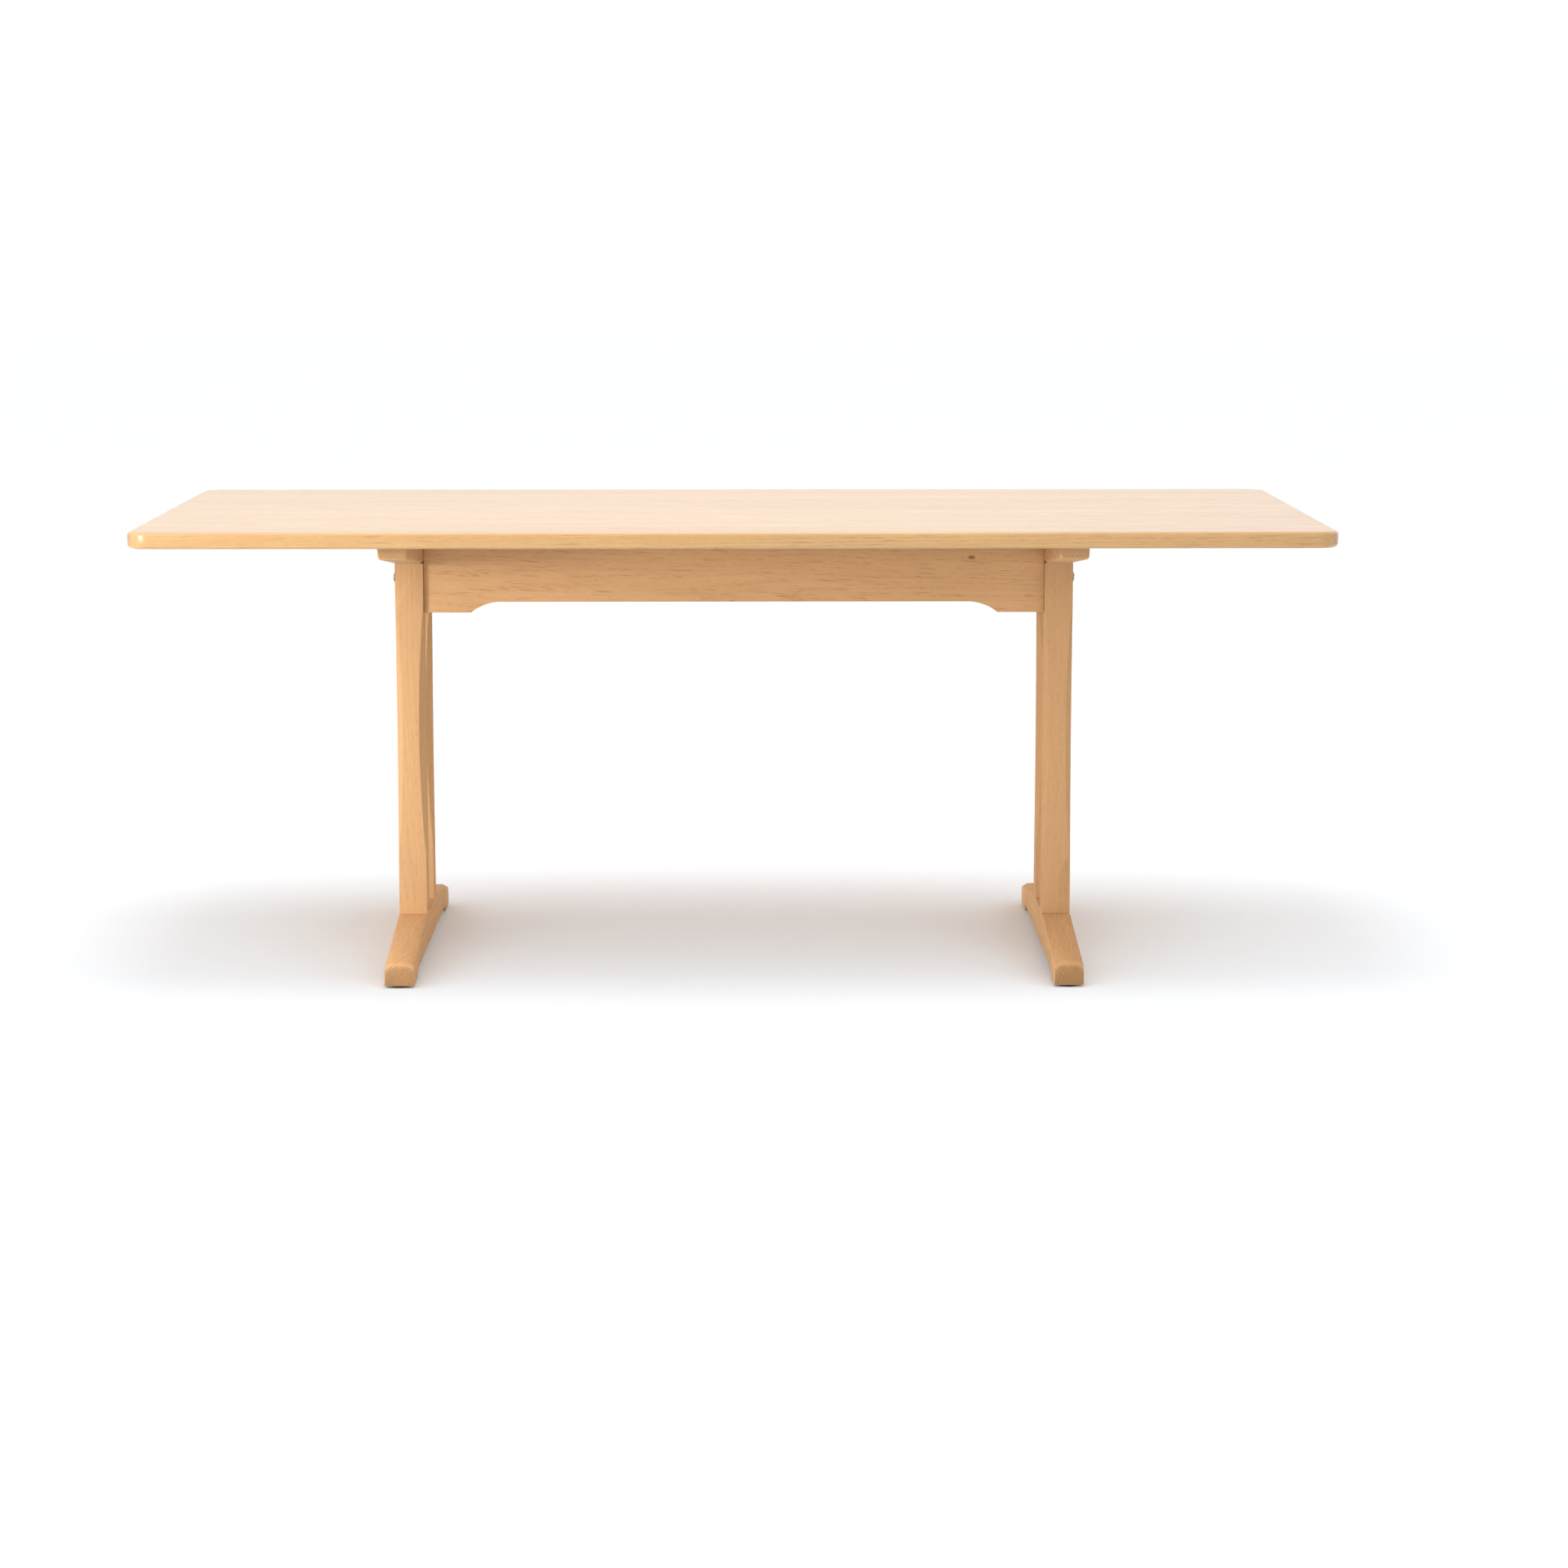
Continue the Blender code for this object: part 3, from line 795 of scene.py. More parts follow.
@dataclass(frozen=True)
class Moulding:
    """A hard moulded plastic, scuffed by the floor."""

    colour: Colour
    scuff: Colour
    roughness: float

    def material(self, name: str) -> bpy.types.Material:
        """Builds the plastic, with a fine moulded grain and scuffs.

        Args:
            name: the material's name.

        Returns:
            The material.
        """
        sheet = Sheet(name)
        place = sheet.lay("TexCoord", {}).outputs["Object"]
        grain = sheet.noise(sheet.scaled(place, (1500.0, 1500.0, 1500.0)), 3.0)
        marks = sheet.noise(sheet.scaled(place, (120.0, 700.0, 120.0)), 4.0, 0.65)
        scuffed = sheet.ramp(marks.outputs[0], 0.52, 0.72)
        colour = sheet.tint(scuffed, self.colour, self.scuff)
        rough = sheet.maths("MULTIPLY_ADD", scuffed, 0.2, self.roughness)
        bump = sheet.lay("Bump", {"Strength": 0.3, "Distance": 0.0002, "Height": grain.outputs[0]})
        wires = {"Base Color": colour, "Roughness": rough, "Normal": bump.outputs[0]}
        return sheet.done("Principled", wires)


TOP_OAK = Oak(
    pale=paint(197, 156, 103),
    deep=paint(173, 128, 79),
    pore=paint(126, 84, 48),
    fleck_and_highlight=paint(209, 170, 121),
    wear_and_highlight=0.20,
    roughness=0.36,
    shine=0.1,
    coat=0.8,
    coat_roughness=0.22,
)
FRAME_OAK = Oak(
    pale=paint(202, 159, 114),
    deep=paint(177, 130, 86),
    pore=paint(124, 80, 45),
    fleck_and_highlight=paint(214, 176, 134),
)
POST_OAK = replace(
    FRAME_OAK, ring_share=0.10, streak_share=0.14, pore_share=0.26, dash_share=0.12
)
FOOT_OAK = replace(FRAME_OAK, ring_share=0.14, dash_share=0.2, end_shade=0.70)
RAIL_OAK = replace(FRAME_OAK, ring_share=0.12, streak_share=0.20, dash_share=0.50)
BEECH = Oak(
    pale=paint(206, 176, 136),
    deep=paint(184, 148, 108),
    pore=paint(150, 112, 76),
    fleck_and_highlight=paint(160, 112, 72),
    ring=0.0022,
    pore_share=0.12,
    roughness=0.6,
    shine=0.3,
)
BRONZE = Metal(paint(150, 104, 66), paint(84, 54, 34), 0.34)
ZINC = Metal(paint(196, 195, 190), paint(150, 148, 142), 0.30)
GLIDE_PLASTIC = Moulding(paint(52, 40, 32), paint(92, 78, 66), 0.55)


def node_middle(node: str) -> Vector:
    """The middle of a node's box."""
    low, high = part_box(node)
    return (low + high) / 2


def arc_reach(run: float, rise: float) -> float:
    """How far from its ends the two tangents of an arc of that run and rise meet."""
    return (run**2 + rise**2) / (2 * run)


def mortise(piece: Bench, post: str, low: float, high: float) -> None:
    """Chops the mortise that takes one post's tenon.

    Args:
        piece: the foot or bearer.
        post: the post's node.
        low: the mortise's lowest point.
        high: its highest point.
    """
    middle = node_middle(post)
    half = Vector((TENON[0] / 2 + GAP, TENON[1] / 2 + GAP, 0.0))
    start, end = Vector((middle.x, middle.y, low)), Vector((middle.x, middle.y, high))
    piece.cut(Bench.block("chisel", start - half, end + half))


def set_round(
    first: Bench,
    kind: str,
    label: str,
    slot: str,
    dress: Callable[[str], bpy.types.Material],
    turned: bool = True,
) -> None:
    """Copies a piece from the front left to the other three corners, and dresses all four.

    Args:
        first: the piece at the front left.
        kind: the start of its nodes' names.
        label: the start of the pieces' names.
        slot: the record's material slot.
        dress: makes the finish for one node.
        turned: whether the right-hand copies are turned end for end.
    """
    start = node_middle(f"{kind}_front_left")
    for side in SIDES:
        for end in ENDS:
            node = f"{kind}_{end}_{side}"
            piece = first
            if (end, side) != ("front", "left"):
                half_turn = turned and side == "right"
                goal = node_middle(node)
                piece = first.copy_to(f"{label}_{end}_{side}", start, goal, half_turn)
            piece.install(node, slot, dress(node))


@dataclass
class Tabletop:
    """Boards glued edge to edge, with a rounded plan and eased arrises."""

    count: int = 8
    corner_radius: float = 0.034
    corner_segments: int = 16
    upper_arris: float = 0.0052
    lower_arris: float = 0.0068
    arris_segments: int = 5
    glue_line: float = 0.0002
    pilot_radius: float = 0.0023
    # How the boards lay in their logs.
    tones: tuple[float, ...] = (0.98, 1.02, 1.0, 1.03, 1.01, 0.98, 1.0, 0.96)
    pith_depth: float = 0.060
    pith_step: float = 0.025
    pith_aside: float = 0.022
    stray: Pair = (0.010, 0.012)
    log_step: float = 3.1
    boards: list[Bench] = field(default_factory=list)

    def build(self) -> None:
        """Models one edge board and one inner board, copies them across, and dresses them."""
        edge = self._edge_board()
        inner = self._inner_board()
        first, second = node_middle("tabletop_board_1"), node_middle("tabletop_board_2")
        for number in range(1, self.count + 1):
            node = f"tabletop_board_{number}"
            name = f"oak_board_{number}"
            if number == 1:
                board = edge
            elif number == self.count:
                shift = node_middle(node) + first - 2 * first.z * Axis.Z.way
                board = edge.copy(name, shift, half_turn=True)
            elif number == 2:
                board = inner
            else:
                board = inner.copy(name, node_middle(node) - second)
            self.boards.append(board)
        for number, board in enumerate(self.boards, start=1):
            node = f"tabletop_board_{number}"
            self._pilots(board, node)
            finish = TOP_OAK.material(f"top_oak_{number}", self._cut(number))
            board.install(node, "oak_tabletop", finish)

    def _pilots(self, board: Bench, node: str) -> None:
        """Drills one board from below for the screws that end in it.

        Args:
            board: the board.
            node: its node.
        """
        low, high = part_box(node)
        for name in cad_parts:
            if name.startswith("top_screw"):
                at, tip = node_middle(name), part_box(name)[1].z
                if low.y < at.y < high.y:
                    start = Vector((at.x, at.y, low.z - OVERRUN))
                    end = Vector((at.x, at.y, tip + GAP))
                    board.bore(start, end, Axis.Z, self.pilot_radius)

    def _cut(self, number: int) -> Cut:
        """How one board lay in its log: each has its own heart side, depth and drift.

        Args:
            number: the board, from the front.

        Returns:
            Its cut.
        """
        middle = node_middle(f"tabletop_board_{number}")
        heart_below = number % 2 == 0
        depth = self.pith_depth + self.pith_step * ((number * 5) % 4)
        aside = self.pith_aside * math.sin(number * 2.3)
        pith = middle + Vector((0.0, aside, -depth if heart_below else depth))
        tilt = (self.stray[0] * math.sin(number * 1.7), self.stray[1] * math.cos(number * 2.9))
        return Cut(Axis.X, tuple(pith), tilt, self.log_step * number, self.tones[number - 1])

    def _edge_board(self) -> Bench:
        """Models the front board, with two rounded corners.

        Returns:
            The board on the bench.
        """
        low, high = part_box("tabletop_board_1")
        board = Bench.block("oak_board_1", low, high)
        with board.editing():
            board.pick(Part.EDGE, lambda at, run: abs(run.z) > MOSTLY and at.y < low.y + NEAR)
            board.round_over(self.corner_radius, self.corner_segments)
            for level, width in ((high.z, self.upper_arris), (low.z, self.lower_arris)):
                board.pick(
                    Part.EDGE, lambda at, run: abs(at.z - level) < NEAR and at.y < high.y - NEAR
                )
                board.round_over(width, self.arris_segments)
            board.pick(Part.EDGE, lambda at, run: abs(run.x) > MOSTLY and at.y > high.y - NEAR)
            board.round_over(self.glue_line, 1)
        board.finish()
        return board

    def _inner_board(self) -> Bench:
        """Models the second board, square to its neighbours and eased at its ends.

        Returns:
            The board on the bench.
        """
        low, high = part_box("tabletop_board_2")
        board = Bench.block("oak_board_2", low, high)
        with board.editing():
            for level, width in ((high.z, self.upper_arris), (low.z, self.lower_arris)):
                board.pick(
                    Part.EDGE, lambda at, run: abs(run.y) > MOSTLY and abs(at.z - level) < NEAR
                )
                board.round_over(width, self.arris_segments)
            board.pick(Part.EDGE, lambda at, run: abs(run.x) > SQUARE)
            board.round_over(self.glue_line, 1)
        board.finish()
        return board


@dataclass
class Trestle:
    """A foot, two posts and a bearer, made once on the left and copied to the right."""

    foot_flat: float = 0.1065
    foot_taper: float = 0.109
    foot_end_radius: float = 0.016
    foot_toe_radius: float = 0.004
    foot_arris: float = 0.0035
    foot_facet: float = 0.009
    foot_facet_drop: float = 0.0055
    foot_pad: float = 0.072
    foot_relief: float = 0.012
    foot_relief_run: float = 0.030
    foot_waist: float = 0.020
    bearer_flat: float = 0.095
    bearer_taper: float = 0.108
    bearer_end_radius: float = 0.008
    bearer_arris: float = 0.005
    well_radius: float = 0.0055
    clearance_radius: float = 0.003
    screw_head: float = 0.0028
    nail_radius: float = 0.0018
    bolt_bore: float = 0.0043
    dowel_bore: float = 0.0053
    post_ease: float = 0.0008
    post_crisp: float = 25.0
    shoulder_low: float = 0.0673
    shoulder_high: float = 0.6357
    chamfer_low: float = 0.153
    chamfer_high: float = 0.577
    chamfer_width: float = 0.0095
    arc_steps: int = 28
    scoop_size: Pair = (0.03, 0.02)
    scoop_overrun: float = 1.05
    # How the feet and bearers, and then the posts, lay in their logs; their tones paint light
    # falling from the left, the left trestle's pieces lighter than the right's.
    log_step: float = 1.7
    pith_away: float = 0.13
    pith_slopes: Pair = (30.0, 60.0)
    stray: Pair = (0.006, 0.01)
    tones: Pair = (1.07, 1.02)
    post_pith: float = 0.090
    post_turns: Pair = (2.1, 4.0)
    post_right_turn: float = 0.9
    post_stray: Pair = (0.008, -0.010)
    post_side_light_tones: Pair = (1.03, 0.97)

    def build(self) -> None:
        """Models a foot, a bearer and a post, copies them to their places, and dresses them."""
        across = node_middle("foot_right") - node_middle("foot_left")
        self._place("foot", self._foot(), across)
        self._place("bearer", self._bearer(), across)
        set_round(
            self._post(),
            "post",
            "oak_post",
            "oak_frame",
            lambda node: POST_OAK.material(f"oak_{node}", self._post_cut(node)),
        )

    def _place(self, kind: str, left: Bench, across: Vector) -> None:
        """Copies a left piece to the right trestle and dresses both.

        Args:
            kind: foot or bearer.
            left: the piece of the left trestle.
            across: how far the trestles are apart.
        """
        finish = FOOT_OAK if kind == "foot" else FRAME_OAK
        pieces = (left, left.copy(f"oak_{kind}_right", across))
        for number, (side, piece) in enumerate(zip(SIDES, pieces)):
            node = f"{kind}_{side}"
            slope = math.radians(self.pith_slopes[number])
            way = Vector((math.sin(slope), 0.0, -math.cos(slope)))
            pith = node_middle(node) + self.pith_away * way
            along = self.log_step * number + len(kind)
            # The tone paints light from the left: the left piece lighter, the right one darker.
            cut = Cut(Axis.Y, tuple(pith), self.stray, along, self.tones[number])
            piece.install(node, "oak_frame", finish.material(f"oak_{node}", cut))

    def _post_cut(self, node: str) -> Cut:
        """How a post lay in its log.

        Args:
            node: the post's node.

        Returns:
            Its cut.
        """
        right = "right" in node
        turn = self.post_turns["back" in node] + self.post_right_turn * right
        way = Vector((math.cos(turn), math.sin(turn), 0.0))
        pith = node_middle(node) + self.post_pith * way
        # The tone paints light from the left: the left posts lighter, the right ones darker.
        return Cut(Axis.Z, tuple(pith), self.post_stray, turn * 2.0, self.post_side_light_tones[right])

    def _foot(self) -> Bench:
        """Models the left foot: a tapered top, rounded ends and a relieved underside.

        Returns:
            The foot on the bench.
        """
        low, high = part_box("foot_left")
        foot = Bench.block("oak_foot_left", low, high)
        inner = high.y - self.foot_pad
        reach = arc_reach(self.foot_relief_run, self.foot_relief)
        crown = inner - (self.foot_relief_run - reach)
        drop = (high.y - self.foot_flat) * self.foot_taper
        middle, half = (low.x + high.x) / 2, (high.x - low.x) / 2
        with foot.editing():
            for side in (-1.0, 1.0):
                for mark in (self.foot_flat, inner, crown):
                    foot.saw(Vector((0.0, side * mark, 0.0)), Axis.Y.way)
                facet = Vector((middle + side * (half - self.foot_facet), 0.0, 0.0))
                foot.saw(facet, Axis.X.way)
            # The top falls from the posts to both ends, and its facets fall further.
            for mark in (high.y, inner, crown):
                share = (mark - self.foot_flat) / (high.y - self.foot_flat)
                foot.pick(
                    Part.EDGE,
                    lambda at, run: abs(run.x) > MOSTLY
                    and at.z > self.foot_waist
                    and abs(abs(at.y) - mark) < NEAR,
                )
                bpy.ops.transform.translate(value=(0.0, 0.0, -drop * share))
                foot.pick(
                    Part.CORNER,
                    lambda at, _: at.z > self.foot_waist
                    and abs(abs(at.y) - mark) < NEAR
                    and abs(at.x - middle) > half - NEAR,
                )
                bpy.ops.transform.translate(value=(0.0, 0.0, -self.foot_facet_drop * share))
            # The underside between the pads is lifted, and its two steps become arcs.
            foot.pick(
                Part.EDGE,
                lambda at, run: abs(run.x) > MOSTLY
                and at.z < self.foot_waist
                and abs(at.y) < crown + NEAR,
            )
            bpy.ops.transform.translate(value=(0.0, 0.0, self.foot_relief))
            foot.pick(
                Part.EDGE,
                lambda at, run: abs(run.x) > MOSTLY
                and at.z < self.foot_waist
                and abs(abs(at.y) - crown) < NEAR,
            )
            foot.round_over(SWEEP_SHARE * reach, 10, "ABSOLUTE")
            # The ends are rounded above, over the facets too, and at the toe.
            foot.pick(
                Part.EDGE,
                lambda at, run: abs(run.x) > SLANTED
                and at.z > self.foot_waist
                and abs(at.y) > high.y - NEAR,
            )
            foot.round_over(self.foot_end_radius, 8)
            foot.pick(
                Part.EDGE,
                lambda at, run: abs(run.x) > MOSTLY
                and at.z < self.foot_waist
                and abs(at.y) > high.y - NEAR,
            )
            foot.round_over(self.foot_toe_radius, 4)
        foot.ease(self.foot_arris, 4)
        for end in ENDS:
            post = f"post_{end}_left"
            mortise(foot, post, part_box(post)[0].z - GAP, high.z + GAP)
            at, tip = node_middle(f"glide_{end}_left"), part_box(f"glide_{end}_left")[1].z
            start = Vector((at.x, at.y, low.z - GAP))
            foot.bore(start, Vector((at.x, at.y, tip + GAP)), Axis.Z, self.nail_radius)
        foot.finish()
        return foot

    def _bearer(self) -> Bench:
        """Models the left bearer: a flat top and an underside that rises to both ends.

        Returns:
            The bearer on the bench.
        """
        low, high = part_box("bearer_left")
        bearer = Bench.block("oak_bearer_left", low, high)
        middle, half = (low.x + high.x) / 2, (high.x - low.x) / 2
        rise = (high.y - self.bearer_flat) * self.bearer_taper
        with bearer.editing():
            for side in (-1.0, 1.0):
                bearer.saw(Vector((0.0, side * self.bearer_flat, 0.0)), Axis.Y.way)
            bearer.pick(
                Part.EDGE,
                lambda at, run: abs(run.x) > MOSTLY
                and at.z < low.z + NEAR
                and abs(at.y) > high.y - NEAR,
            )
            bpy.ops.transform.translate(value=(0.0, 0.0, rise))
            bearer.round_over(self.bearer_end_radius, 5)
            bearer.pick(
                Part.EDGE,
                lambda at, run: abs(abs(at.x - middle) - half) < NEAR
                and abs(run.z) < UPRIGHT
                and at.z < high.z - NEAR,
            )
            bearer.round_over(self.bearer_arris, 4)
        for end in ENDS:
            post = f"post_{end}_left"
            mortise(bearer, post, low.z - GAP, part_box(post)[1].z + GAP)
        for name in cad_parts:
            if name.startswith("top_screw_left"):
                at, seat = node_middle(name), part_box(name)[0].z + self.screw_head + GAP
                foot, neck = Vector((at.x, at.y, low.z - GAP)), Vector((at.x, at.y, seat))
                bearer.bore(foot, neck, Axis.Z, self.well_radius)
                past = neck + THROUGH * Axis.Z.way
                bearer.bore(neck - GAP * Axis.Z.way, past, Axis.Z, self.clearance_radius)
        bearer.finish()
        return bearer

    def _post(self) -> Bench:
        """Models the front left post: tenons at both ends and a scooped chamfer on each corner.

        Returns:
            The post on the bench.
        """
        low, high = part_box("post_front_left")
        foot_end = Vector((low.x, low.y, self.shoulder_low))
        head_end = Vector((high.x, high.y, self.shoulder_high))
        post = Bench.block("oak_post_front_left", foot_end, head_end)
        share = Vector((TENON[0] / (high.x - low.x), TENON[1] / (high.y - low.y), 1.0))
        with post.editing():
            post.pick(Part.EDGE, lambda at, run: abs(run.z) > MOSTLY)
            post.round_over(self.post_ease, 2)
            post.tenon(Axis.Z.way, share, high.z - self.shoulder_high)
            post.tenon(-Axis.Z.way, share, self.shoulder_low - low.z)
        for x, right in ((low.x, -1.0), (high.x, 1.0)):
            for y, back in ((low.y, -1.0), (high.y, 1.0)):
                out = Vector((right, back, 0.0)).normalized()
                post.cut(self._scoop(Vector((x, y, 0.0)), out))
        bolt = node_middle("rail_bolt_front_left").z
        start = Vector((low.x - GAP, (low.y + high.y) / 2, bolt))
        post.bore(start, start + THROUGH * Axis.X.way, Axis.X, self.bolt_bore)
        for level in ("lower", "upper"):
            dowel = f"rail_dowel_{level}_front_left"
            start = Vector((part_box(dowel)[0].x - GAP, start.y, node_middle(dowel).z))
            post.bore(start, start + THROUGH * Axis.X.way, Axis.X, self.dowel_bore)
        post.finish(self.post_crisp)
        return post

    def _scoop(self, corner: Vector, out: Vector) -> Bench:
        """Makes the curved tool that scoops one chamfer, swung about an axis outside the post.

        Args:
            corner: the post's corner.
            out: the way from the post out through that corner.

        Returns:
            The tool on the bench.
        """
        half = (self.chamfer_high - self.chamfer_low) / 2
        depth = self.chamfer_width / math.sqrt(2)
        radius = (half**2 + depth**2) / (2 * depth)
        reach = math.asin(self.scoop_overrun * half / radius)
        width, thickness = self.scoop_size
        level = (self.chamfer_high + self.chamfer_low) / 2
        centre = Vector((corner.x, corner.y, level)) + out * (radius - depth)
        hinge = Vector((-out.y, out.x, 0.0))
        spoke = -out * math.cos(reach) - Axis.Z.way * math.sin(reach)
        facing = Matrix((hinge, spoke, hinge.cross(spoke))).transposed()
        bpy.ops.object.select_all(action="DESELECT")
        bpy.ops.mesh.primitive_plane_add(
            size=1.0,
            location=centre + spoke * (radius - thickness / 2),
            rotation=facing.to_euler(),
        )
        bpy.context.active_object.scale = (width, thickness, 1.0)
        tool = Bench(bpy.context.active_object, "scoop")
        with tool.editing():
            bpy.ops.mesh.select_all(action="SELECT")
            bpy.ops.mesh.spin(steps=self.arc_steps, angle=-2 * reach, center=centre, axis=hinge)
        tool.finish()
        return tool


@dataclass
class Rails:
    """The front and back rails, each relieved along its lower edge."""

    corner: float = 0.4215
    relief: float = 0.0172
    relief_run: float = 0.0454
    arris: float = 0.0015
    bolt_bore: float = 0.0043
    dowel_bore: float = 0.0053
    socket_radius: float = 0.0061
    # How the rails lay in their logs, and where the front one has its knot.
    knot_along: float = 0.380
    knot_height: float = 0.644
    piths: Pair = (0.10, -0.13)
    pith_drop: float = 0.05
    logs: Pair = (2.4, 7.7)
    stray: Pair = (-0.045, 0.006)
    tone: float = 1.04

    def build(self) -> None:
        """Models the front rail, turns a copy round for the back, and dresses both."""
        front = self._rail()
        back = front.copy("oak_rail_back", Vector((0.0, 0.0, 0.0)), half_turn=True)
        knot = (self.knot_along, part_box("rail_front")[0].y, self.knot_height)
        rows = zip(ENDS, (front, back), self.piths, self.logs, (knot, None))
        for end, piece, inwards, along, spot in rows:
            node = f"rail_{end}"
            pith = node_middle(node) + Vector((0.0, inwards, -self.pith_drop))
            cut = Cut(Axis.X, tuple(pith), self.stray, along, self.tone, spot)
            piece.install(node, "oak_frame", RAIL_OAK.material(f"oak_{node}", cut))

    def _rail(self) -> Bench:
        """Models the front rail.

        Returns:
            The rail on the bench.
        """
        low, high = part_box("rail_front")
        rail = Bench.block("oak_rail_front", low, high)
        reach = arc_reach(self.relief_run, self.relief)
        crown = self.corner - self.relief_run + reach
        with rail.editing():
            for mark in (self.corner, crown):
                for side in (-1.0, 1.0):
                    rail.saw(Vector((side * mark, 0.0, 0.0)), Axis.X.way)
            rail.pick(
                Part.EDGE,
                lambda at, run: abs(run.y) > MOSTLY
                and at.z < low.z + NEAR
                and abs(at.x) < crown + NEAR,
            )
            bpy.ops.transform.translate(value=(0.0, 0.0, self.relief))
            rail.round_over(SWEEP_SHARE * reach, 12, "ABSOLUTE")
        rail.ease(self.arris, 3)
        for side, sign in zip(SIDES, (-1.0, 1.0)):
            outside = sign * (high.x + OVERRUN)
            for kind, radius in (
                ("rail_bolt", self.bolt_bore),
                ("rail_dowel_lower", self.dowel_bore),
                ("rail_dowel_upper", self.dowel_bore),
            ):
                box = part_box(f"{kind}_front_{side}")
                inside = box[1].x + GAP if side == "left" else box[0].x - GAP
                at = node_middle(f"{kind}_front_{side}")
                start, end = (Vector((x, at.y, at.z)) for x in sorted((outside, inside)))
                rail.bore(start, end, Axis.X, radius)
            nut = node_middle(f"barrel_nut_front_{side}")
            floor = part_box(f"barrel_nut_front_{side}")[0].y - GAP
            start = Vector((nut.x, floor, nut.z))
            rail.bore(start, start + THROUGH * Axis.Y.way, Axis.Y, self.socket_radius)
        rail.finish()
        return rail


@dataclass
class Fixings:
    """Bolts, nuts, dowels, screws and glides."""

    head_radius: float = 0.0092
    head_rim: float = 0.0006
    dome: float = 0.0030
    slot_width: float = 0.0020
    slot_depth: float = 0.0018
    slot_overrun: float = 1.2
    shank_radius: float = 0.0040
    dome_steps: int = 6
    bolt_arris: float = 0.00025
    glide_thickness: float = 0.003
    glide_arris: float = 0.0012
    glide_rim: float = 0.010
    glide_recess: float = 0.0008
    nail_radius: float = 0.0012
    crisp: float = 35.0

    def build(self) -> None:
        """Models a bolt and a glide, copies them, and gives the hidden pieces their finish."""
        self._bolts()
        self._glides()
        finishes = {
            "barrel_nut": ZINC.material("zinc_nut"),
            "top_screw": ZINC.material("zinc_screw"),
            "rail_dowel": BEECH.material("beech", Cut(Axis.X, (0.0, 0.30, 0.45))),
        }
        for name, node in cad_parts.items():
            for start, material in finishes.items():
                if name.startswith(start):
                    node.material_slots[0].material = material
                    LOG.info("%s keeps its shape, with %s", name, material.name)

    def _bolts(self) -> None:
        """Models one domed bolt with its slot and copies it to the other posts."""
        low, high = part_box("rail_bolt_front_left")
        middle = (low + high) / 2
        face = low.x + self.dome + self.head_rim
        at = Vector((face - self.head_rim / 2, middle.y, middle.z))
        bolt = Bench.rod("bronze_bolt_front_left", at, self.head_radius, self.head_rim, Axis.X)
        sphere = (self.head_radius**2 + self.dome**2) / (2 * self.dome)
        sweep = math.asin(self.head_radius / sphere)
        with bolt.editing():
            bolt.pick(Part.FACE, lambda _, normal: normal.x < -SQUARE)
            before, height = self.head_radius, 0.0
            for step in range(1, self.dome_steps + 1):
                angle = sweep * (1 - step / (self.dome_steps + 0.5))
                reach = sphere * math.sin(angle)
                lift = sphere * math.cos(angle) - (sphere - self.dome)
                bpy.ops.mesh.extrude_region_move(
                    TRANSFORM_OT_translate={"value": (-(lift - height), 0.0, 0.0)}
                )
                share = reach / before
                hub = Vector((face - self.head_rim - lift, middle.y, middle.z))
                bpy.ops.transform.resize(value=(1.0, share, share), center_override=hub)
                before, height = reach, lift
            bolt.pick(Part.FACE, lambda _, normal: normal.x > SQUARE)
            share = self.shank_radius / self.head_radius
            bpy.ops.mesh.extrude_region_move(TRANSFORM_OT_translate={"value": (0, 0, 0)})
            hub = Vector((face, middle.y, middle.z))
            bpy.ops.transform.resize(value=(1.0, share, share), center_override=hub)
            bpy.ops.mesh.extrude_region_move(
                TRANSFORM_OT_translate={"value": (high.x - face, 0.0, 0.0)}
            )
        across = self.slot_overrun * self.head_radius
        half = Vector((self.slot_depth, across, self.slot_width / 2))
        crown = Vector((low.x, middle.y, middle.z))
        bolt.cut(Bench.block("slot", crown - half, crown + half))
        bolt.ease(self.bolt_arris, 2)
        bolt.finish(self.crisp)
        material = BRONZE.material("bronzed_steel")
        set_round(bolt, "rail_bolt", "bronze_bolt", "bronzed_steel", lambda _: material)

    def _glides(self) -> None:
        """Models one glide, round and soft-edged with its nail, and copies it to the others."""
        low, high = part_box("glide_front_left")
        middle = (low + high) / 2
        radius = (high.y - low.y) / 2
        thickness = self.glide_thickness
        disc = Vector((middle.x, middle.y, low.z + thickness / 2))
        glide = Bench.rod("floor_glide_front_left", disc, radius, thickness, Axis.Z)
        with glide.editing():
            glide.pick(Part.EDGE, lambda at, run: at.z < low.z + NEAR)
            glide.round_over(self.glide_arris, 3)
            glide.pick(Part.FACE, lambda _, normal: normal.z < -SQUARE)
            bpy.ops.mesh.inset(thickness=self.glide_rim)
            bpy.ops.mesh.extrude_region_move(
                TRANSFORM_OT_translate={"value": (0.0, 0.0, self.glide_recess)}
            )
            glide.pick(
                Part.FACE,
                lambda at, normal: normal.z > SQUARE and at.z > low.z + thickness - NEAR,
            )
            bpy.ops.mesh.inset(thickness=radius - self.nail_radius)
            bpy.ops.mesh.extrude_region_move(
                TRANSFORM_OT_translate={"value": (0.0, 0.0, high.z - low.z - thickness)}
            )
        glide.finish(self.crisp)
        material = GLIDE_PLASTIC.material("glide_plastic")
        set_round(glide, "glide", "floor_glide", "dark_glide", lambda _: material, turned=False)


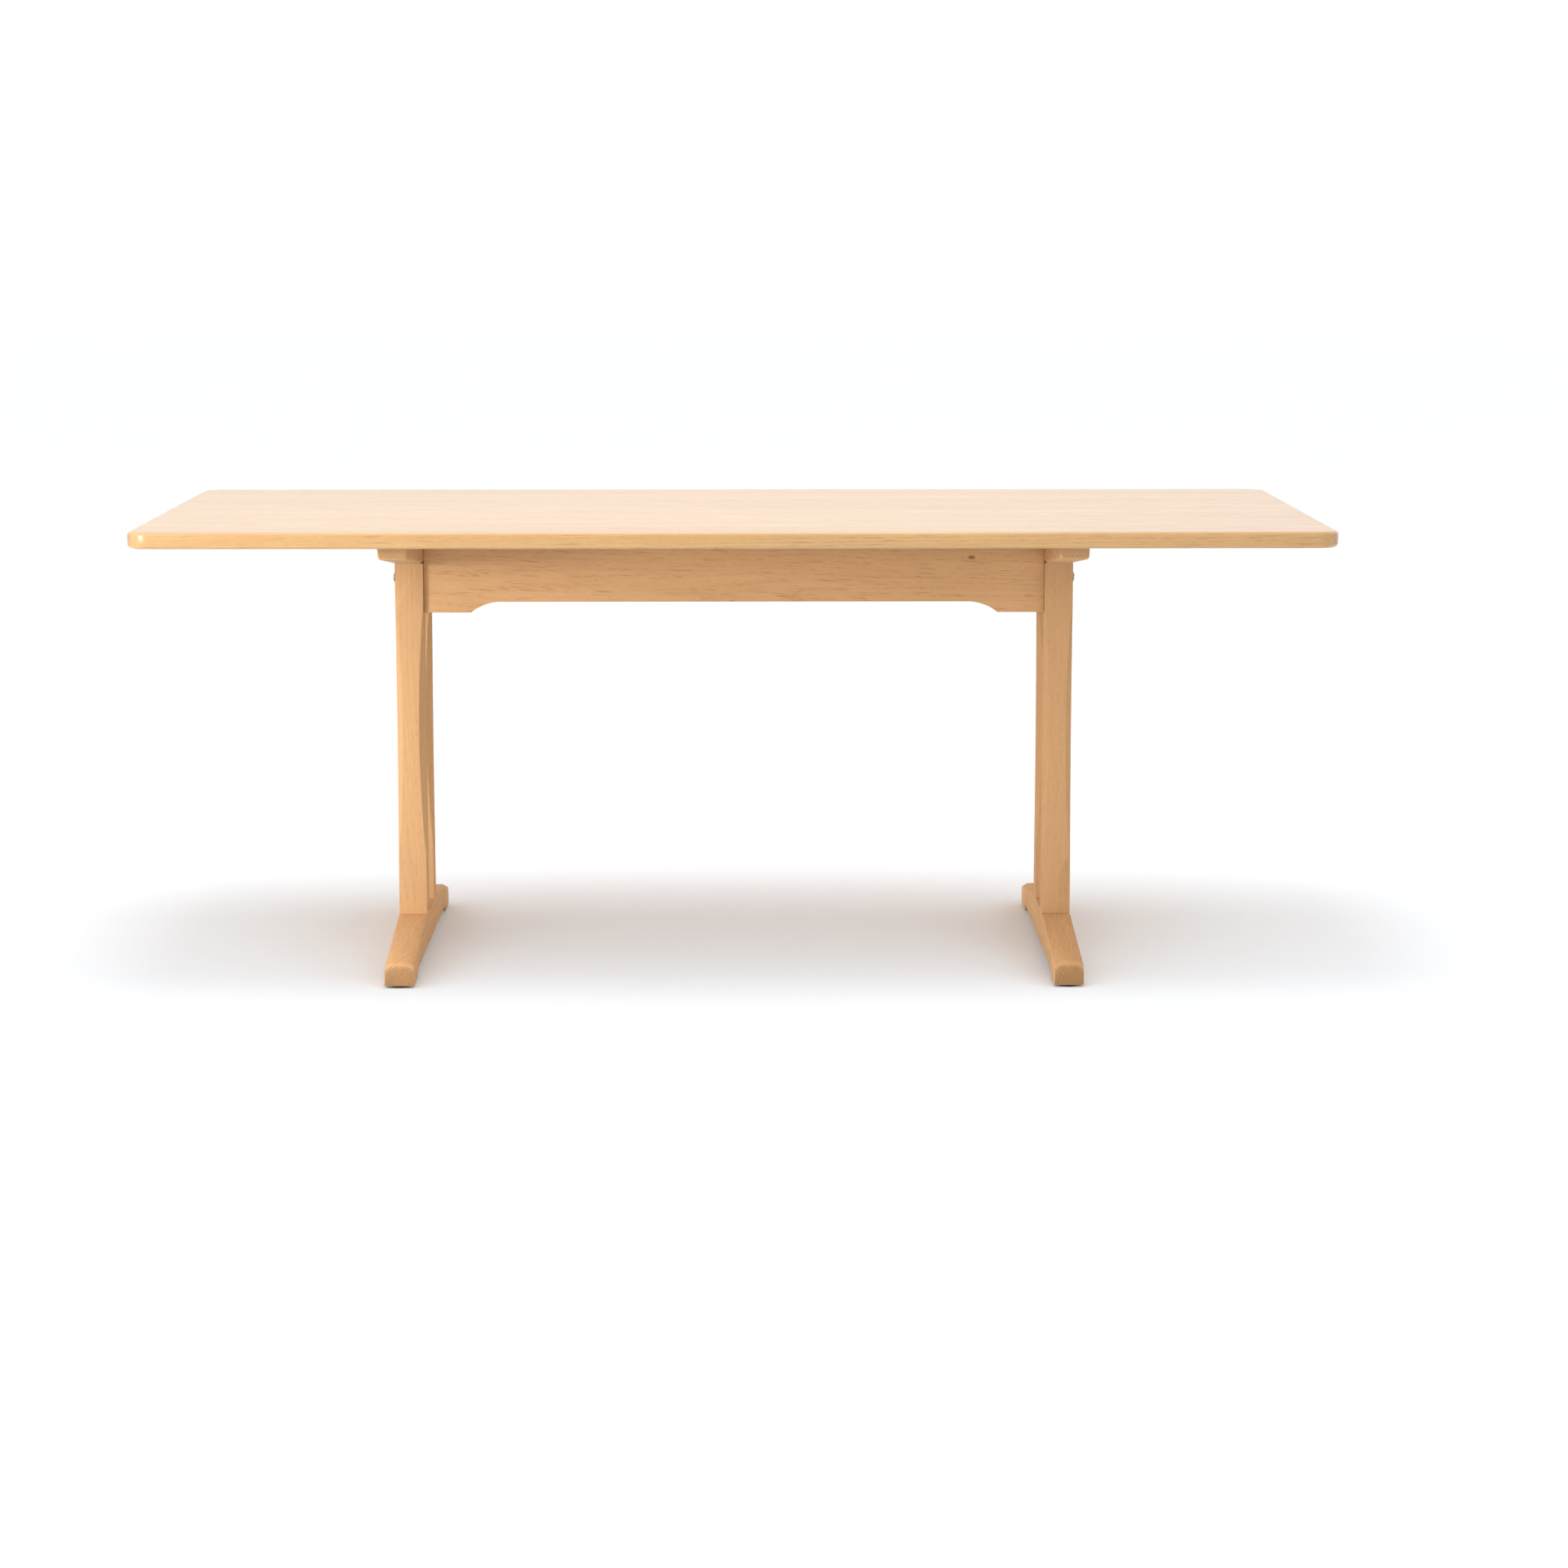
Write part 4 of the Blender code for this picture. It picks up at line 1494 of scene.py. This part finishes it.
@dataclass(frozen=True)
class Softbox:
    """One soft studio light, a flat panel with its long and short side."""

    name: str
    place: Triple
    aim: Triple
    size: Pair
    watts: float
    flagged: bool = False

    def hang(self, floor: bpy.types.Object) -> None:
        """Hangs the light, turns it to what it lights and, if it is flagged, spares the floor.

        Args:
            floor: the studio's floor.
        """
        turn = (Vector(self.aim) - Vector(self.place)).to_track_quat("-Z", "Y").to_euler()
        bpy.ops.object.select_all(action="DESELECT")
        bpy.ops.object.light_add(type="AREA", location=self.place, rotation=turn)
        lamp = bpy.context.active_object
        lamp.name = lamp.data.name = self.name
        lamp.data.shape = "RECTANGLE"
        lamp.data.size, lamp.data.size_y = self.size
        lamp.data.energy = self.watts
        if self.flagged:
            spared = bpy.data.collections.new(f"spared_by_{self.name}")
            spared.objects.link(floor)
            spared.collection_objects[0].light_linking.link_state = "EXCLUDE"
            lamp.light_linking.receiver_collection = spared


@dataclass
class Studio:
    """A white floor, soft light and the camera."""

    floor_size: float = 60.0
    floor_white: Triple = (0.908, 0.940, 0.975)
    cloud: float = 0.6
    cloud_shade: float = 0.997
    sky: float = 1.10
    lens: float = 90.86
    sensor: float = 36.0
    sight: float = 100.0
    stand: Triple = (0.0127, -6.3974, 1.2038)
    pitch: float = math.radians(8.34)
    yaw: float = 0.0106
    lights: tuple[Softbox, ...] = (
        Softbox("key", (-2.0, -1.75, 0.92), (0.0, 0.0, 0.6), (0.55, 0.45), 36.0, flagged=True),
        Softbox("overhead", (-0.2, 0.0, 3.2), (0.0, 0.0, 0.7), (2.4, 1.6), 38.0),
    )

    def build(self) -> None:
        """Lays the floor, lights the scene and sets the camera."""
        floor = self._floor()
        self._sky()
        for light in self.lights:
            light.hang(floor)
        bpy.ops.object.camera_add(
            location=self.stand, rotation=(math.pi / 2 - self.pitch, 0.0, -self.yaw)
        )
        camera = bpy.context.active_object
        camera.name = "camera"
        camera.data.lens = self.lens
        camera.data.sensor_width = self.sensor
        camera.data.clip_end = self.sight
        bpy.context.scene.camera = camera
        bpy.context.scene.view_settings.view_transform = "Standard"
        LOG.info("floor, %d lights and camera are up", len(self.lights))

    def _floor(self) -> bpy.types.Object:
        """Lays a wide matt white floor.

        Returns:
            The floor.
        """
        bpy.ops.object.select_all(action="DESELECT")
        bpy.ops.mesh.primitive_plane_add(size=self.floor_size, location=(0.0, 0.0, 0.0))
        floor = bpy.context.active_object
        floor.name = "floor"
        sheet = Sheet("white_floor")
        place = sheet.lay("TexCoord", {}).outputs["Object"]
        cloud = sheet.noise(sheet.scaled(place, (self.cloud,) * 3))
        wires = {}
        for number, white in enumerate(self.floor_white):
            dim = self.cloud_shade * white
            wires[number] = sheet.ramp(cloud.outputs[0], 0.2, 0.8, (dim, white))
        colour = sheet.lay("CombineColor", wires).outputs[0]
        floor.data.materials.append(sheet.done("Diffuse", {"Color": colour, "Roughness": 1.0}))
        return floor

    def _sky(self) -> None:
        """Surrounds the scene with even white light."""
        world = bpy.data.worlds.new("studio")
        world.use_nodes = True
        background = next(n for n in world.node_tree.nodes if n.type == "BACKGROUND")
        background.inputs["Color"].default_value = (1.0, 1.0, 1.0, 1.0)
        background.inputs["Strength"].default_value = self.sky
        bpy.context.scene.world = world


def main() -> None:
    """Builds the table and its studio in order, and reports each piece."""
    logging.basicConfig(level=logging.INFO, format="%(name)s: %(message)s")
    for assembly in (Tabletop(), Trestle(), Rails(), Fixings(), Studio()):
        assembly.build()
        LOG.info("%s done", type(assembly).__name__)


if __name__ == "__main__":
    main()
